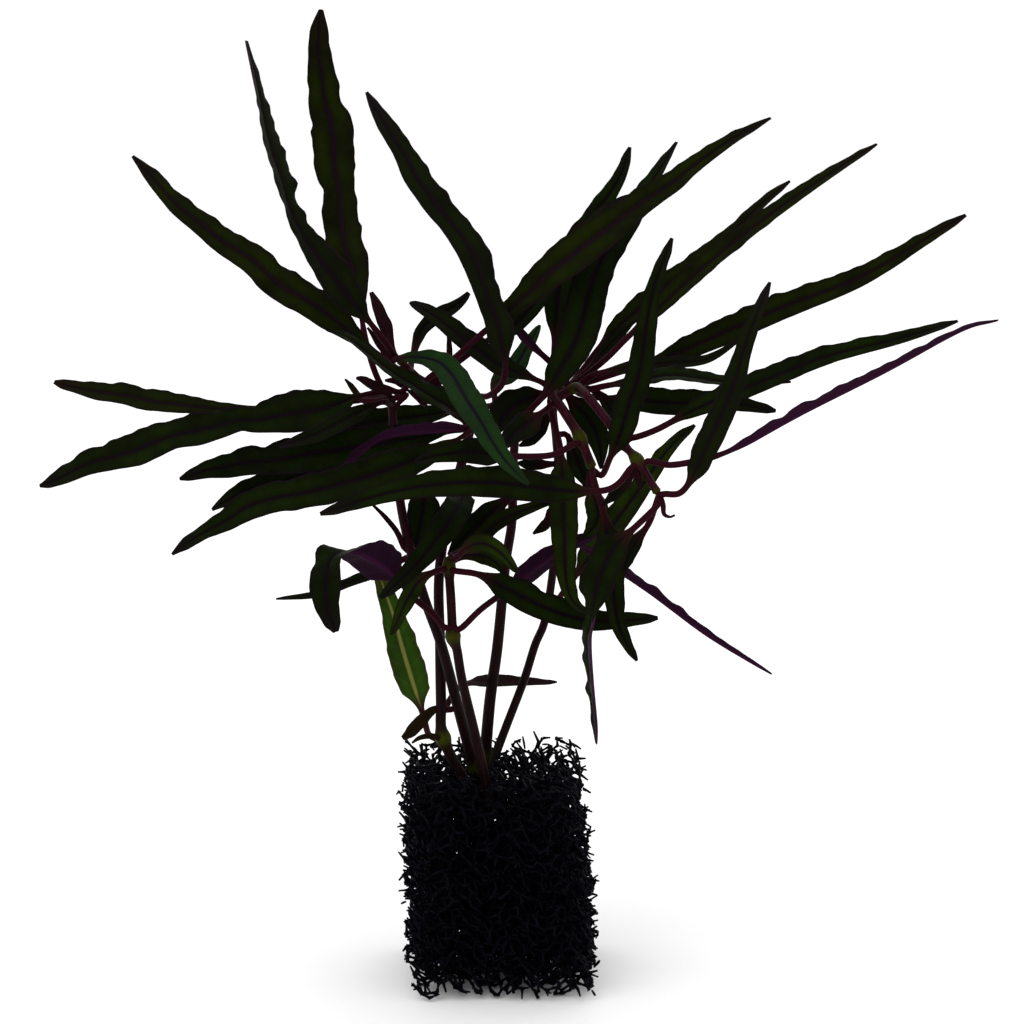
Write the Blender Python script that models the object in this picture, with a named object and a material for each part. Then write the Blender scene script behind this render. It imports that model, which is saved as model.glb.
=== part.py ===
"""Hemigraphis, an aquarium plant: five rooted stems with long narrow leaves in a block of filter foam.

Units are millimetres in the tables and metres in the mesh. The foam's flat underside is centred on the
origin, +Z is up, and the plant's front looks along -Y.
"""
import math
import random

import bmesh
import bpy
from mathutils import Matrix, Vector

MM = 0.001

# The plant's front view
# Every point of a stem or leaf is (across, up, back): across and up are millimetres seen from in front
# on a plane through the plant's middle, and back is how far behind that middle the point lies.
VIEW_HEIGHT = 96.0
VIEW_SHIFT = 1.4
VIEW_DISTANCE = 650.0
VIEW_TILT = math.radians(10.0)
MIDDLE = Vector((VIEW_SHIFT, 0.0, VIEW_HEIGHT))
TOWARD_EYE = Vector((0.0, -math.cos(VIEW_TILT), math.sin(VIEW_TILT)))
VIEW_UP = Vector((0.0, math.sin(VIEW_TILT), math.cos(VIEW_TILT)))
EYE = MIDDLE + TOWARD_EYE * VIEW_DISTANCE

# Foam block
FOAM_WIDTH = 34.5
FOAM_DEPTH = 36.0
FOAM_HEIGHT = 45.0
FOAM_LEAN = -3.0
FOAM_CELL = 3.9
PIT_DEPTH = 1.6
EDGE_RAGGED = 0.55
SOCKET_GAP = 0.65
SOCKET_FLOOR_GAP = 0.8
FOAM_SEED = 7

# Leaves
BLADE_THICK = 0.42
PETIOLE_RADIUS = 0.55
LEAF_FOLD = 0.16
LEAF_STATIONS = 13
LEAST_FACING = 0.35
LEAST_HALF = 0.25
RUFFLE = 0.07
# Half-width of the blade along its length, as (place, share of the greatest half-width)
BLADE_OUTLINE = ((0.0, 0.16), (0.07, 0.50), (0.15, 0.85), (0.28, 1.0), (0.45, 0.95), (0.65, 0.74),
                 (0.82, 0.54), (0.95, 0.34), (1.0, 0.12))

STEM_SIDES = 6
STEM_STATIONS = 12

# Stems: radius at the foot and at the top, then the points
STEMS = {
    "stem_back_left": (1.05, 0.90, ((-7.0, -58.4, -6.0), (-9.4, -53.8, -7.5), (-13.8, -45.2, -10.0),
                                    (-14.2, -37.6, -8.0), (-14.4, -25.6, -5.0), (-14.6, -13.0, -2.0),
                                    (-13.0, -2.0, 2.0), (-9.5, 12.0, 4.0), (-6.8, 22.4, 3.0))),
    "stem_left": (1.10, 0.80, ((-6.4, -55.8, -0.5), (-7.6, -51.0, -2.0), (-10.4, -40.6, -6.5),
                               (-14.0, -27.0, -11.0), (-17.4, -17.6, -12.0), (-20.4, -7.2, -11.0),
                               (-22.4, 2.4, -6.0), (-23.6, 14.4, -2.0), (-24.0, 22.6, 0.0))),
    "stem_front": (0.95, 0.85, ((-3.4, -60.8, -10.5), (-4.6, -56.4, -11.5), (-7.6, -43.6, -14.0),
                                (-10.0, -33.6, -16.0), (-11.0, -27.6, -17.0), (-11.8, -24.8, -17.0),
                                (-12.2, -17.6, -17.0), (-12.6, -11.0, -16.0), (-12.2, -8.6, -16.0))),
    "stem_middle": (1.20, 0.80, ((-5.9, -54.6, 6.5), (-5.4, -49.0, 6.0), (-4.4, -37.6, 5.5),
                                 (-3.0, -27.6, 5.0), (-2.0, -17.6, 4.0), (-1.2, -9.6, 3.0),
                                 (0.0, -1.6, 2.0), (0.2, 8.4, 1.0), (0.8, 17.4, 0.0))),
    "stem_right": (0.85, 0.75, ((-4.6, -53.6, 1.6), (-3.4, -49.0, 3.0), (-1.2, -43.0, 5.0),
                                (2.4, -33.6, 9.0), (4.6, -26.6, 12.0), (6.6, -21.6, 14.0),
                                (8.2, -11.6, 15.0), (9.6, 2.4, 12.0), (8.8, 14.4, 6.0),
                                (8.4, 21.4, 4.0), (11.4, 25.2, 2.0))),
    "shoot_left": (0.95, 0.65, ((-9.0, 23.6, 0.6), (-13.4, 24.2, 0.0), (-18.4, 26.6, 0.0),
                                (-20.8, 28.8, -1.0), (-23.0, 30.8, -2.0))),
    "shoot_inner_right": (0.95, 0.85, ((8.0, 24.0, -1.0), (10.6, 19.8, -7.0), (13.6, 14.8, -10.0),
                                       (16.2, 8.4, -12.0))),
    "shoot_outer_right": (0.90, 0.70, ((12.8, 24.8, -2.6), (15.2, 23.0, -8.0), (19.2, 18.0, -13.0),
                                       (22.0, 13.8, -17.0), (25.0, 10.4, -21.0), (29.4, 3.4, -25.0))),
}
ROOTED = ("stem_back_left", "stem_left", "stem_front", "stem_middle", "stem_right")

# Swollen joints: the stem, the place along its points (counted from 0) and the radius
JOINTS = (("stem_back_left", 2, 1.6), ("stem_front", 5, 1.5), ("stem_front", 7, 1.3),
          ("shoot_inner_right", 2, 1.3), ("shoot_outer_right", 3, 1.1), ("shoot_outer_right", 4, 1.35))

# Leaves of the common outline: width, petiole length, turns in degrees, then the points, from base to tip.
# A turn of 0 shows the upper side to the front, 90 stands it on edge, 180 shows the underside.
LEAVES = {
    "leaf_top_5": (5.0, 14.0, (30, 30, 30), (
        (-15.4, 26.6, -1.6), (-10.8, 30.0, 0.0), (-6.8, 33.0, 1.4), (-2.8, 35.6, -1.5),
        (1.6, 38.4, -3.5), (12.6, 52.4, -1.0), (17.6, 59.4, 1.0), (24.2, 63.6, 3.0))),
    "leaf_top_6": (5.8, 7.0, (15, 15, 15), (
        (8.4, 26.4, 6.0), (8.4, 31.0, 8.0), (8.8, 36.8, 10.0), (10.0, 47.4, 12.0),
        (14.6, 56.4, 14.0), (21.2, 66.4, 16.0), (23.6, 73.0, 17.0))),
    "leaf_top_7": (7.8, 7.0, (0, 0, 10, 55), (
        (2.0, 18.8, -2.4), (4.0, 20.8, -5.0), (6.6, 23.6, -7.0), (9.6, 28.4, -7.0),
        (13.2, 35.4, -4.0), (16.8, 48.4, 2.0), (24.0, 59.8, 8.0), (33.0, 74.0, 12.0))),
    "leaf_top_8": (4.6, 3.0, (10, 10, 20), (
        (-3.6, 21.6, 8.0), (-3.4, 25.4, 12.0), (0.6, 29.0, 16.0), (2.6, 32.4, 19.0),
        (5.6, 37.4, 22.0))),
    "leaf_top_9": (2.4, 2.0, (150, 150, 150), (
        (8.0, 29.6, 1.4), (3.2, 34.0, 1.4), (0.4, 37.4, 2.0), (-2.4, 40.4, 3.5))),
    "leaf_right_1": (5.4, 6.0, (0, 0, 10), (
        (18.0, 7.4, -14.2), (19.6, 10.8, -19.0), (21.6, 15.4, -23.0), (23.6, 22.4, -27.0),
        (25.6, 28.4, -30.0), (28.0, 43.4, -33.0), (32.0, 54.8, -32.0))),
    "leaf_right_2": (5.0, 6.0, (25, 30, 30), (
        (13.8, 28.0, 6.0), (17.6, 33.0, 9.0), (21.6, 37.4, 12.0), (31.6, 45.8, 18.0),
        (43.6, 55.4, 22.0), (49.6, 61.4, 24.0), (55.6, 66.2, 25.0))),
    "leaf_right_3": (5.0, 13.0, (35, 40, 40), (
        (14.6, 27.2, 1.0), (19.2, 31.0, -3.0), (23.6, 35.4, -5.0), (37.6, 48.4, -10.0),
        (49.6, 58.0, -12.0), (61.6, 66.4, -11.0), (73.0, 73.6, -7.0))),
    "leaf_right_4": (5.8, 10.0, (20, 20, 20), (
        (15.4, 26.0, 4.0), (21.6, 28.0, 4.4), (28.6, 30.0, 3.0), (37.6, 33.8, 1.0),
        (53.6, 40.8, -2.0), (69.6, 47.0, -3.0), (83.6, 55.2, 0.0), (90.8, 59.4, 3.0))),
    "leaf_right_5": (3.2, 3.0, (30, 30, 30), (
        (15.2, 26.8, -2.0), (17.6, 27.8, -4.0), (25.6, 29.2, -5.0), (31.6, 29.8, -6.2),
        (39.2, 30.6, -7.4), (46.0, 34.8, -7.4))),
    "leaf_right_6": (5.0, 4.0, (50, 55, 55), (
        (15.6, 24.6, -2.4), (19.6, 25.4, -5.0), (25.6, 26.4, -9.5), (32.6, 27.4, -14.0),
        (43.6, 26.0, -18.0), (55.8, 26.0, -19.0))),
    "leaf_right_7": (5.8, 4.0, (20, 20, 20), (
        (15.0, 23.2, 2.4), (25.6, 22.4, 4.0), (33.6, 21.8, 5.0), (41.6, 22.2, 6.0),
        (52.8, 20.2, 5.0))),
    "leaf_right_8": (5.0, 8.0, (20, 30, 30), (
        (23.4, 14.6, -18.0), (25.6, 15.2, -19.0), (29.6, 16.8, -20.0), (37.6, 21.0, -22.0),
        (51.6, 26.8, -25.0), (63.6, 31.4, -27.0), (77.6, 34.8, -26.0), (89.2, 38.2, -23.0))),
    "leaf_right_9": (5.0, 6.0, (10, 10, 20), (
        (30.6, 3.6, -27.0), (33.6, 3.8, -30.0), (36.0, 6.8, -33.0), (38.6, 12.4, -36.0),
        (43.6, 23.4, -39.0), (47.0, 34.4, -40.0), (51.6, 46.0, -37.0))),
    "leaf_right_10": (4.4, 14.0, (110, 112, 110), (
        (27.4, 10.2, -21.4), (31.6, 9.4, -24.0), (37.6, 10.4, -26.0), (43.6, 12.4, -27.0),
        (57.6, 20.0, -28.0), (73.6, 28.0, -26.0), (89.6, 36.4, -21.0), (97.2, 38.4, -18.0))),
    "leaf_middle_1": (6.4, 10.0, (20, 15, 15), (
        (23.8, 8.8, -22.4), (21.2, 5.6, -25.0), (17.6, 4.2, -28.0), (9.6, 4.4, -31.0),
        (-6.4, 6.0, -36.0), (-22.4, 4.4, -38.0), (-38.4, -0.4, -37.0))),
    "leaf_middle_2": (7.4, 7.0, (0, 0, 15, 76, 80, 80, 80), (
        (29.2, 1.6, -26.6), (27.2, -0.6, -28.0), (23.6, -4.0, -31.0), (20.0, -7.6, -33.0),
        (17.2, -14.0, -34.0), (15.8, -21.6, -33.0), (15.2, -27.6, -32.0), (16.8, -46.4, -27.0))),
    "leaf_middle_3": (5.0, 6.0, (10, 10, 20), (
        (16.4, 6.4, -15.0), (18.2, 0.4, -17.0), (19.2, -5.6, -19.0), (20.0, -11.6, -22.0),
        (20.4, -17.6, -24.0), (21.6, -23.6, -26.0), (25.0, -29.8, -26.0))),
    "leaf_middle_4": (5.4, 14.0, (20, 20, 20), (
        (12.0, 13.4, -12.6), (9.6, 12.0, -15.0), (6.6, 11.2, -17.0), (-0.4, 11.2, -20.0),
        (-8.4, 12.0, -23.0), (-14.4, 11.4, -25.5), (-19.4, 10.0, -27.0))),
    "leaf_middle_5": (5.8, 10.0, (0, 0, 0, 40), (
        (7.6, 21.4, 0.6), (8.8, 16.4, -2.0), (9.8, 11.4, -5.0), (10.4, -1.6, -12.0),
        (10.6, -9.6, -16.0), (11.2, -15.4, -19.4), (12.8, -18.6, -22.0), (15.6, -20.4, -24.0))),
    "leaf_middle_6": (6.0, 8.0, (20, 20, 20), (
        (8.6, -18.0, 16.0), (10.6, -15.6, 20.0), (17.2, -6.6, 27.0), (24.6, 3.4, 35.0),
        (31.6, 13.0, 42.0), (36.6, 17.4, 45.0))),
    "leaf_middle_7": (4.8, 13.0, (150, 155, 150), (
        (-10.4, -23.4, -18.0), (-6.4, -19.6, -17.0), (-2.4, -16.6, -13.0), (2.0, -13.2, -10.0),
        (9.6, -7.6, -6.0), (15.6, -5.0, -5.0), (18.0, -3.2, -5.0))),
    "leaf_middle_8": (4.4, 6.0, (110, 110, 110), (
        (9.6, -5.6, 13.0), (13.6, -6.6, 6.0), (18.6, -9.6, 1.0), (27.6, -15.6, -8.0),
        (39.6, -24.6, -15.0), (52.0, -32.4, -18.0))),
    "leaf_middle_9": (6.0, 3.0, (10, 10, 10), (
        (7.0, 20.6, -3.0), (5.6, 19.6, -6.0), (2.6, 17.2, -10.0), (0.0, 15.2, -13.0),
        (-2.4, 12.6, -15.0))),
    "leaf_low_1": (6.2, 4.0, (20, 20, 20), (
        (-11.2, -11.8, -17.8), (-6.4, -12.6, -20.0), (-0.4, -15.6, -20.0), (5.6, -18.6, -19.5),
        (11.6, -20.8, -19.0), (17.6, -21.8, -18.0), (29.2, -21.2, -15.0))),
    "leaf_low_2": (4.0, 3.0, (10, 10, 10), (
        (-11.4, -9.2, -18.2), (-9.0, -7.2, -22.0), (-6.0, -6.2, -24.0), (-2.4, -8.0, -26.0),
        (1.2, -12.2, -27.0))),
    "leaf_low_3": (3.6, 3.0, (10, 10, 10), (
        (-10.8, -8.2, -14.0), (-6.4, -5.0, -9.0), (-2.4, -1.6, -7.0), (3.6, 0.8, -6.0),
        (8.8, 2.4, -5.0))),
    "leaf_low_4": (6.0, 5.0, (5, 5, 10), (
        (-11.2, 5.6, 0.0), (-9.8, 3.6, -8.0), (-12.4, -1.6, -17.0), (-18.4, -9.6, -24.0),
        (-23.4, -14.6, -27.0), (-26.4, -17.2, -28.0))),
    "leaf_low_5": (3.6, 3.0, (0, 0, 0), (
        (-13.8, -11.4, -17.4), (-15.6, -12.0, -20.0), (-18.4, -13.6, -21.0), (-20.8, -17.2, -21.0),
        (-22.8, -21.6, -20.0), (-24.2, -24.6, -19.0))),
    "leaf_low_6": (9.6, 12.0, (170, 170, 165, 135, 60, 5, 0), (
        (-13.5, -23.1, -18.8), (-15.8, -20.4, -16.8), (-19.6, -17.2, -15.5), (-23.4, -12.8, -17.0),
        (-27.6, -9.6, -20.5), (-32.4, -7.6, -25.0), (-36.2, -9.2, -29.0), (-37.2, -13.6, -30.5),
        (-37.0, -18.6, -30.5), (-35.2, -24.0, -29.5))),
    "leaf_low_7": (2.4, 2.0, (30, 30, 30), (
        (-21.6, -9.4, -8.6), (-26.4, -12.0, -9.6), (-32.4, -14.0, -11.0), (-38.4, -16.4, -12.0),
        (-47.2, -17.4, -11.0))),
    "leaf_low_8": (7.0, 10.0, (10, 10, 10), (
        (-15.6, -45.2, -8.0), (-16.8, -44.2, -5.0), (-17.6, -41.2, -1.0), (-18.6, -38.0, 3.0),
        (-20.2, -33.0, 8.0), (-22.0, -27.0, 13.0), (-23.8, -20.5, 18.0), (-27.2, -10.8, 24.0))),
    "leaf_low_9": (2.8, 11.0, (30, 20, 20), (
        (-13.2, -39.4, -5.6), (-11.4, -36.0, -1.0), (-9.2, -34.4, 4.0), (-4.4, -33.8, 11.0),
        (0.6, -33.8, 16.0), (5.6, -34.0, 20.0), (9.0, -34.0, 23.0))),
}

# The large leaves of the left and the top: turns, then points that also hold the blade's width there,
# as seen from in front. A width of 0 is the petiole.
OUTLINED_LEAVES = {
    "leaf_upper_left_1": ((15, 15, 20), (
        (-20.2, 27.4, -4, 0), (-23.0, 28.7, -5, 0), (-26.0, 31.0, -5.6, 0), (-29.0, 33.2, -6, 1.6),
        (-32.0, 35.6, -6, 3.6), (-36.0, 39.0, -6, 6.2), (-41.3, 42.6, -5.5, 6.6), (-46.9, 45.8, -4, 6.6),
        (-51.8, 50.4, -2, 6.0), (-57.6, 54.0, 0, 5.2), (-61.3, 57.0, 1.5, 4.8), (-67.1, 61.6, 4, 4.0),
        (-72.3, 67.4, 8, 3.0), (-75.9, 71.2, 10, 0.6))),
    "leaf_upper_left_2": ((10, 15, 40, 60, 65, 70), (
        (-24.4, 32.6, -4.4, 0), (-27.4, 36.6, -8, 0), (-30.0, 39.8, -10.5, 2.6), (-32.3, 42.6, -12, 6.0),
        (-34.9, 46.0, -14, 7.2), (-37.4, 49.2, -16, 6.2), (-40.5, 53.4, -18, 4.4),
        (-42.8, 57.4, -19.5, 3.4), (-44.6, 61.4, -20.5, 3.0), (-45.8, 66.0, -21.5, 3.4),
        (-47.8, 71.6, -22, 3.4), (-49.2, 76.8, -21.5, 2.7), (-50.2, 81.9, -20, 2.0),
        (-51.4, 87.5, -18, 1.1), (-53.1, 94.3, -16, 0.4))),
    "leaf_upper_left_3": ((10, 5, 0, 10), (
        (-25.8, 24.6, 2, 0), (-27.4, 28.0, 3, 0), (-28.7, 32.1, 5, 0), (-29.7, 36.5, 8, 0),
        (-30.3, 41.0, 10, 2.0), (-31.2, 45.0, 12, 5.0), (-32.0, 48.6, 13.5, 7.2), (-33.5, 53.7, 16, 7.6),
        (-34.3, 58.8, 19, 7.4), (-34.6, 64.5, 21, 6.4), (-35.4, 68.6, 22, 8.3), (-36.0, 76.8, 23, 8.6),
        (-37.4, 81.9, 23, 6.6), (-38.0, 87.0, 22.5, 6.0), (-38.6, 92.1, 21.5, 4.6),
        (-38.6, 96.8, 20, 3.7), (-38.2, 100.5, 19, 1.0))),
    "leaf_upper_left_4": ((50, 55, 60), (
        (-8.6, 17.0, -10, 0), (-10.4, 19.2, -11, 2.4), (-13.0, 21.4, -11.6, 3.6), (-16.4, 23.4, -12, 3.8),
        (-20.2, 25.8, -12.6, 3.2), (-25.0, 28.8, -13, 2.4), (-29.0, 32.0, -13, 1.9),
        (-33.0, 35.0, -12, 1.4), (-37.0, 36.4, -10, 0.5))),
    "leaf_upper_left_5": ((0, 5, 10), (
        (-23.4, 30.6, -4.2, 0.8), (-21.2, 30.9, -7, 1.9), (-18.4, 30.9, -10, 2.7),
        (-14.6, 30.0, -15, 4.4), (-11.8, 27.2, -20, 5.4), (-10.2, 24.4, -24, 5.5), (-8.5, 21.6, -28, 5.6),
        (-6.4, 18.4, -32, 5.0), (-4.0, 14.2, -36, 4.2), (-1.4, 10.4, -39, 3.2), (1.2, 7.6, -41, 2.0),
        (3.4, 5.4, -42, 0.6))),
    "leaf_left_1": ((30, 30, 30), (
        (-26.6, 22.8, 4, 0), (-33.4, 22.0, 6, 0), (-42.4, 21.0, 9, 0), (-50.0, 20.6, 11, 1.0),
        (-56.0, 20.6, 13, 2.0), (-60.0, 20.8, 14, 2.8), (-63.0, 21.1, 15, 3.4), (-66.0, 21.5, 16, 4.0),
        (-70.0, 21.9, 17, 4.3), (-74.0, 22.6, 18, 4.8), (-78.0, 23.5, 19, 4.1), (-82.5, 24.0, 20, 3.9),
        (-87.0, 24.9, 22, 2.6), (-89.8, 25.5, 22.6, 2.2), (-91.6, 26.0, 23, 0.8))),
    "leaf_left_2": ((25, 20, 20), (
        (-25.6, 24.0, -1.6, 0), (-28.6, 23.6, -4, 0), (-31.4, 23.0, -6, 1.4), (-34.6, 21.8, -8, 4.6),
        (-38.0, 20.7, -9.5, 7.4), (-42.0, 20.0, -10.5, 8.4), (-46.0, 19.4, -11.5, 7.8),
        (-51.0, 18.4, -13, 5.4), (-54.5, 18.4, -14, 4.6), (-58.5, 17.4, -15, 5.6),
        (-63.0, 16.3, -15.5, 6.3), (-67.5, 15.4, -16, 5.6), (-71.0, 14.2, -16, 6.4),
        (-75.0, 12.5, -16, 6.7), (-79.5, 11.2, -15.5, 5.6), (-84.5, 9.8, -14.5, 4.8),
        (-89.0, 7.6, -14, 3.6), (-92.6, 5.8, -13.3, 2.2), (-94.5, 5.2, -13, 0.6))),
    "leaf_left_3": ((20, 20, 20), (
        (-10.4, 16.4, -2, 0), (-13.6, 16.0, -4, 1.4), (-18.0, 15.2, -6, 4.0), (-24.0, 14.2, -8, 6.0),
        (-30.0, 13.2, -9, 7.0), (-35.5, 12.4, -10, 7.6), (-40.0, 11.8, -10.5, 7.8),
        (-45.0, 10.8, -11, 6.8), (-49.0, 10.3, -11, 5.8), (-53.0, 10.0, -11, 5.6),
        (-57.0, 9.1, -10.5, 4.8), (-61.0, 8.4, -10, 3.5), (-64.6, 7.2, -9.4, 2.1),
        (-66.5, 6.6, -9, 0.6))),
    "leaf_left_4": ((30, 30, 30), (
        (-25.6, 10.6, 0, 0), (-28.6, 9.8, -1, 1.0), (-32.4, 8.8, -2, 2.8), (-38.0, 7.6, -3, 4.2),
        (-44.0, 6.4, -4, 4.6), (-49.5, 5.4, -5, 4.6), (-54.0, 3.9, -6, 3.8), (-57.4, 2.1, -6, 2.4),
        (-60.0, 0.4, -6, 0.6))),
    "leaf_left_5": ((15, 10, 15), (
        (-8.4, 16.2, -14, 0), (-11.0, 14.4, -16, 0.9), (-14.0, 12.8, -17.5, 2.8), (-18.0, 11.0, -19, 5.0),
        (-23.0, 9.2, -21, 6.6), (-28.0, 7.4, -22.5, 7.0), (-33.0, 6.0, -23.5, 6.8),
        (-38.0, 4.6, -24, 6.4), (-43.0, 3.6, -25, 6.2), (-48.0, 2.7, -25, 5.8), (-53.0, 1.0, -25, 5.6),
        (-57.0, -1.6, -24.5, 4.2), (-61.5, -4.0, -23.5, 2.9), (-65.5, -6.6, -22.5, 2.2),
        (-68.0, -8.5, -22, 0.6))),
    "leaf_left_6": ((120, 115, 110), (
        (-8.0, 17.4, -13, 0), (-9.6, 16.9, -13.6, 1.2), (-12.4, 16.8, -15, 1.9), (-16.0, 16.5, -16, 2.2),
        (-20.0, 16.2, -16.8, 2.1), (-24.0, 15.6, -17, 1.4), (-27.4, 14.4, -17, 1.1),
        (-30.4, 12.0, -17, 1.3), (-33.4, 9.6, -16, 0.4))),
    "leaf_left_7": ((10, 10, 10), (
        (-25.6, 22.0, -5, 0), (-28.0, 21.2, -8, 1.6), (-31.2, 19.6, -12, 3.2), (-35.0, 17.6, -14.5, 3.6),
        (-39.0, 15.6, -16, 3.2), (-43.0, 14.2, -17, 2.2), (-46.6, 13.0, -18, 0.6))),
    "leaf_left_8": ((20, 20, 20), (
        (-9.6, 21.0, 7, 0), (-12.6, 20.2, 8.5, 2.0), (-17.0, 19.4, 10, 4.0), (-23.0, 18.6, 11.4, 5.2),
        (-29.0, 17.6, 12.4, 5.4), (-35.0, 16.4, 13.2, 4.4), (-39.5, 15.2, 13.8, 2.6),
        (-42.6, 14.2, 14, 0.6))),
    "leaf_top_1": ((10, 15, 20), (
        (-6.0, 23.1, -2, 0), (-4.4, 23.4, -5, 0), (-2.2, 25.2, -8, 0), (-1.4, 28.0, -11, 0),
        (-1.4, 30.4, -12, 1.4), (-1.8, 32.4, -12.6, 3.6), (-2.3, 35.0, -13, 5.2), (-3.0, 38.5, -13, 5.4),
        (-4.4, 42.0, -12.8, 4.8), (-5.9, 46.0, -12.4, 4.9), (-7.0, 50.0, -12, 6.1),
        (-9.2, 54.0, -11.4, 5.7), (-12.2, 58.0, -10.4, 5.1), (-15.6, 62.2, -9.4, 5.4),
        (-19.2, 67.2, -8, 5.2), (-22.0, 72.4, -6, 4.1), (-25.4, 77.6, -4, 3.5), (-27.8, 81.6, -2.6, 2.0),
        (-29.1, 84.0, -2, 0.6))),
    "leaf_top_2": ((30, 30, 30), (
        (6.4, 25.7, -1.6, 0), (4.4, 26.6, -2.2, 1.2), (1.6, 27.8, -2.8, 2.8), (-2.4, 29.4, -3, 4.4),
        (-6.4, 32.2, -3.4, 4.4), (-10.6, 35.4, -3, 4.2), (-14.2, 38.4, -2, 3.6), (-17.4, 40.4, -1, 2.6),
        (-19.6, 41.5, -0.2, 1.6), (-20.5, 41.9, 0, 0.5))),
    "leaf_top_3": ((20, 10, 20), (
        (-20.0, 30.9, 3, 0.8), (-19.6, 32.0, 4, 1.6), (-19.0, 34.0, 5.5, 2.2), (-18.0, 36.4, 7, 2.6),
        (-16.0, 38.4, 8, 3.0), (-13.4, 40.0, 9, 3.0), (-11.0, 41.4, 9, 2.4), (-9.4, 42.8, 8.4, 1.6),
        (-8.6, 43.8, 8, 0.9))),
    "leaf_top_4": ((10, 10, 20, 30), (
        (-16.6, 26.8, -4.4, 0), (-11.4, 30.9, -6, 0), (-8.5, 33.4, -7, 0), (-5.4, 36.2, -8, 0),
        (-2.6, 38.6, -8.6, 1.6), (-0.5, 40.6, -9, 3.4), (4.2, 44.6, -9, 5.6), (6.7, 47.2, -9, 6.2),
        (11.0, 50.6, -9, 7.4), (16.0, 54.4, -8.5, 7.4), (20.1, 57.5, -8, 6.6), (24.9, 61.2, -7, 5.4),
        (28.8, 63.8, -6, 4.6), (32.5, 66.2, -5, 4.2), (35.3, 68.6, -4, 3.6), (39.3, 71.5, -2.5, 3.0),
        (43.8, 74.5, 0, 2.4), (48.2, 76.9, 2, 1.6), (51.8, 78.8, 3.5, 0.5))),
}

COLOURS = {
    "foam": ("#0b0c12", 0.75),
    "stem": ("#331a20", 0.45),
    "leaf": ("#161f0c", 0.40),
}


def linear(hex_colour):
    """A hex colour as linear red, green, blue and alpha."""
    parts = [int(hex_colour[i:i + 2], 16) / 255 for i in (1, 3, 5)]
    return [c / 12.92 if c < 0.04045 else ((c + 0.055) / 1.055) ** 2.4 for c in parts] + [1.0]


def finish(name):
    """A plain material in the colour and roughness that COLOURS gives."""
    material = bpy.data.materials.new(name)
    material.use_nodes = True
    shader = material.node_tree.nodes["Principled BSDF"]
    shader.inputs["Base Color"].default_value = linear(COLOURS[name][0])
    shader.inputs["Roughness"].default_value = COLOURS[name][1]
    shader.inputs["Metallic"].default_value = 0.0
    return material


def placed(point):
    """The real place of a point (across, up, back) of the front view."""
    across, up, back = point
    seen = MIDDLE + Vector((across, 0.0, 0.0)) + VIEW_UP * up
    return EYE + (seen - EYE) * ((back - EYE.y) / (seen.y - EYE.y))


def smooth_path(points, count):
    """A smooth curve through the points, as evenly spaced places."""
    ends = [points[0] * 2 - points[1]] + list(points) + [points[-1] * 2 - points[-2]]
    fine = []
    for a, b, c, d in zip(ends, ends[1:], ends[2:], ends[3:]):
        for step in range(12):
            t = step / 12
            fine.append(0.5 * (2 * b + (c - a) * t + (2 * a - 5 * b + 4 * c - d) * t * t
                               + (3 * b - a - 3 * c + d) * t ** 3))
    fine.append(points[-1].copy())
    lengths = [0.0]
    for a, b in zip(fine, fine[1:]):
        lengths.append(lengths[-1] + (b - a).length)
    places, k = [], 0
    for i in range(count):
        target = lengths[-1] * i / (count - 1)
        while k < len(fine) - 2 and lengths[k + 1] < target:
            k += 1
        share = (target - lengths[k]) / max(lengths[k + 1] - lengths[k], 1e-9)
        places.append(fine[k].lerp(fine[k + 1], min(share, 1.0)))
    return places, lengths[-1]


def read_off(pairs, place):
    """The value at a place between the pairs (place, value)."""
    for (a, low), (b, high) in zip(pairs, pairs[1:]):
        if place <= b:
            return low + (high - low) * (place - a) / (b - a)
    return pairs[-1][1]


def directions(path):
    """The direction of travel at each place of a path."""
    after = path[1:] + path[-1:]
    before = path[:1] + path[:-1]
    return [(b - a).normalized() for a, b in zip(before, after)]


def swept(name, rings, material):
    """A closed body through the rings, each extruded from the one before."""
    bm = bmesh.new()
    ring = [bm.verts.new(p * MM) for p in rings[0]]
    start = bm.faces.new(ring)
    rim = list(start.edges)
    for points in rings[1:]:
        order = {tuple(v.co): i for i, v in enumerate(ring)}
        grown = bmesh.ops.extrude_edge_only(bm, edges=rim)["geom"]
        last_ring = ring
        ring = sorted((g for g in grown if isinstance(g, bmesh.types.BMVert)),
                      key=lambda v: order[tuple(v.co)])
        for vert, point in zip(ring, points):
            vert.co = point * MM
        rim = [g for g in grown if isinstance(g, bmesh.types.BMEdge)
               and all(v in ring for v in g.verts)]
        # Each side is parted the same way, from a blade's edge to its middle, so that no two cross
        for face in [g for g in grown if isinstance(g, bmesh.types.BMFace)]:
            from_corner = next(v for v in face.verts if v in last_ring[::2])
            to_corner = next(v for v in face.verts if v in ring[1::2])
            bmesh.utils.face_split(face, from_corner, to_corner)
    bmesh.ops.contextual_create(bm, geom=ring)
    bmesh.ops.recalc_face_normals(bm, faces=bm.faces)
    return added(name, bm, material)


def added(name, bm, material):
    """The bmesh as an object of the scene, smooth but for its sharp edges."""
    mesh = bpy.data.meshes.new(name)
    bm.to_mesh(mesh)
    bm.free()
    mesh.materials.append(material)
    mesh.shade_smooth()
    mesh.set_sharp_from_angle(angle=math.radians(50))
    body = bpy.data.objects.new(name, mesh)
    bpy.context.scene.collection.objects.link(body)
    return body


def circle(centre, direction, radius, sides):
    """Points round a centre, across a direction."""
    side = direction.cross(TOWARD_EYE).normalized()
    other = direction.cross(side)
    turns = [2 * math.pi * i / sides for i in range(sides)]
    return [centre + side * (radius * math.cos(a)) + other * (radius * math.sin(a)) for a in turns]


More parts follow.
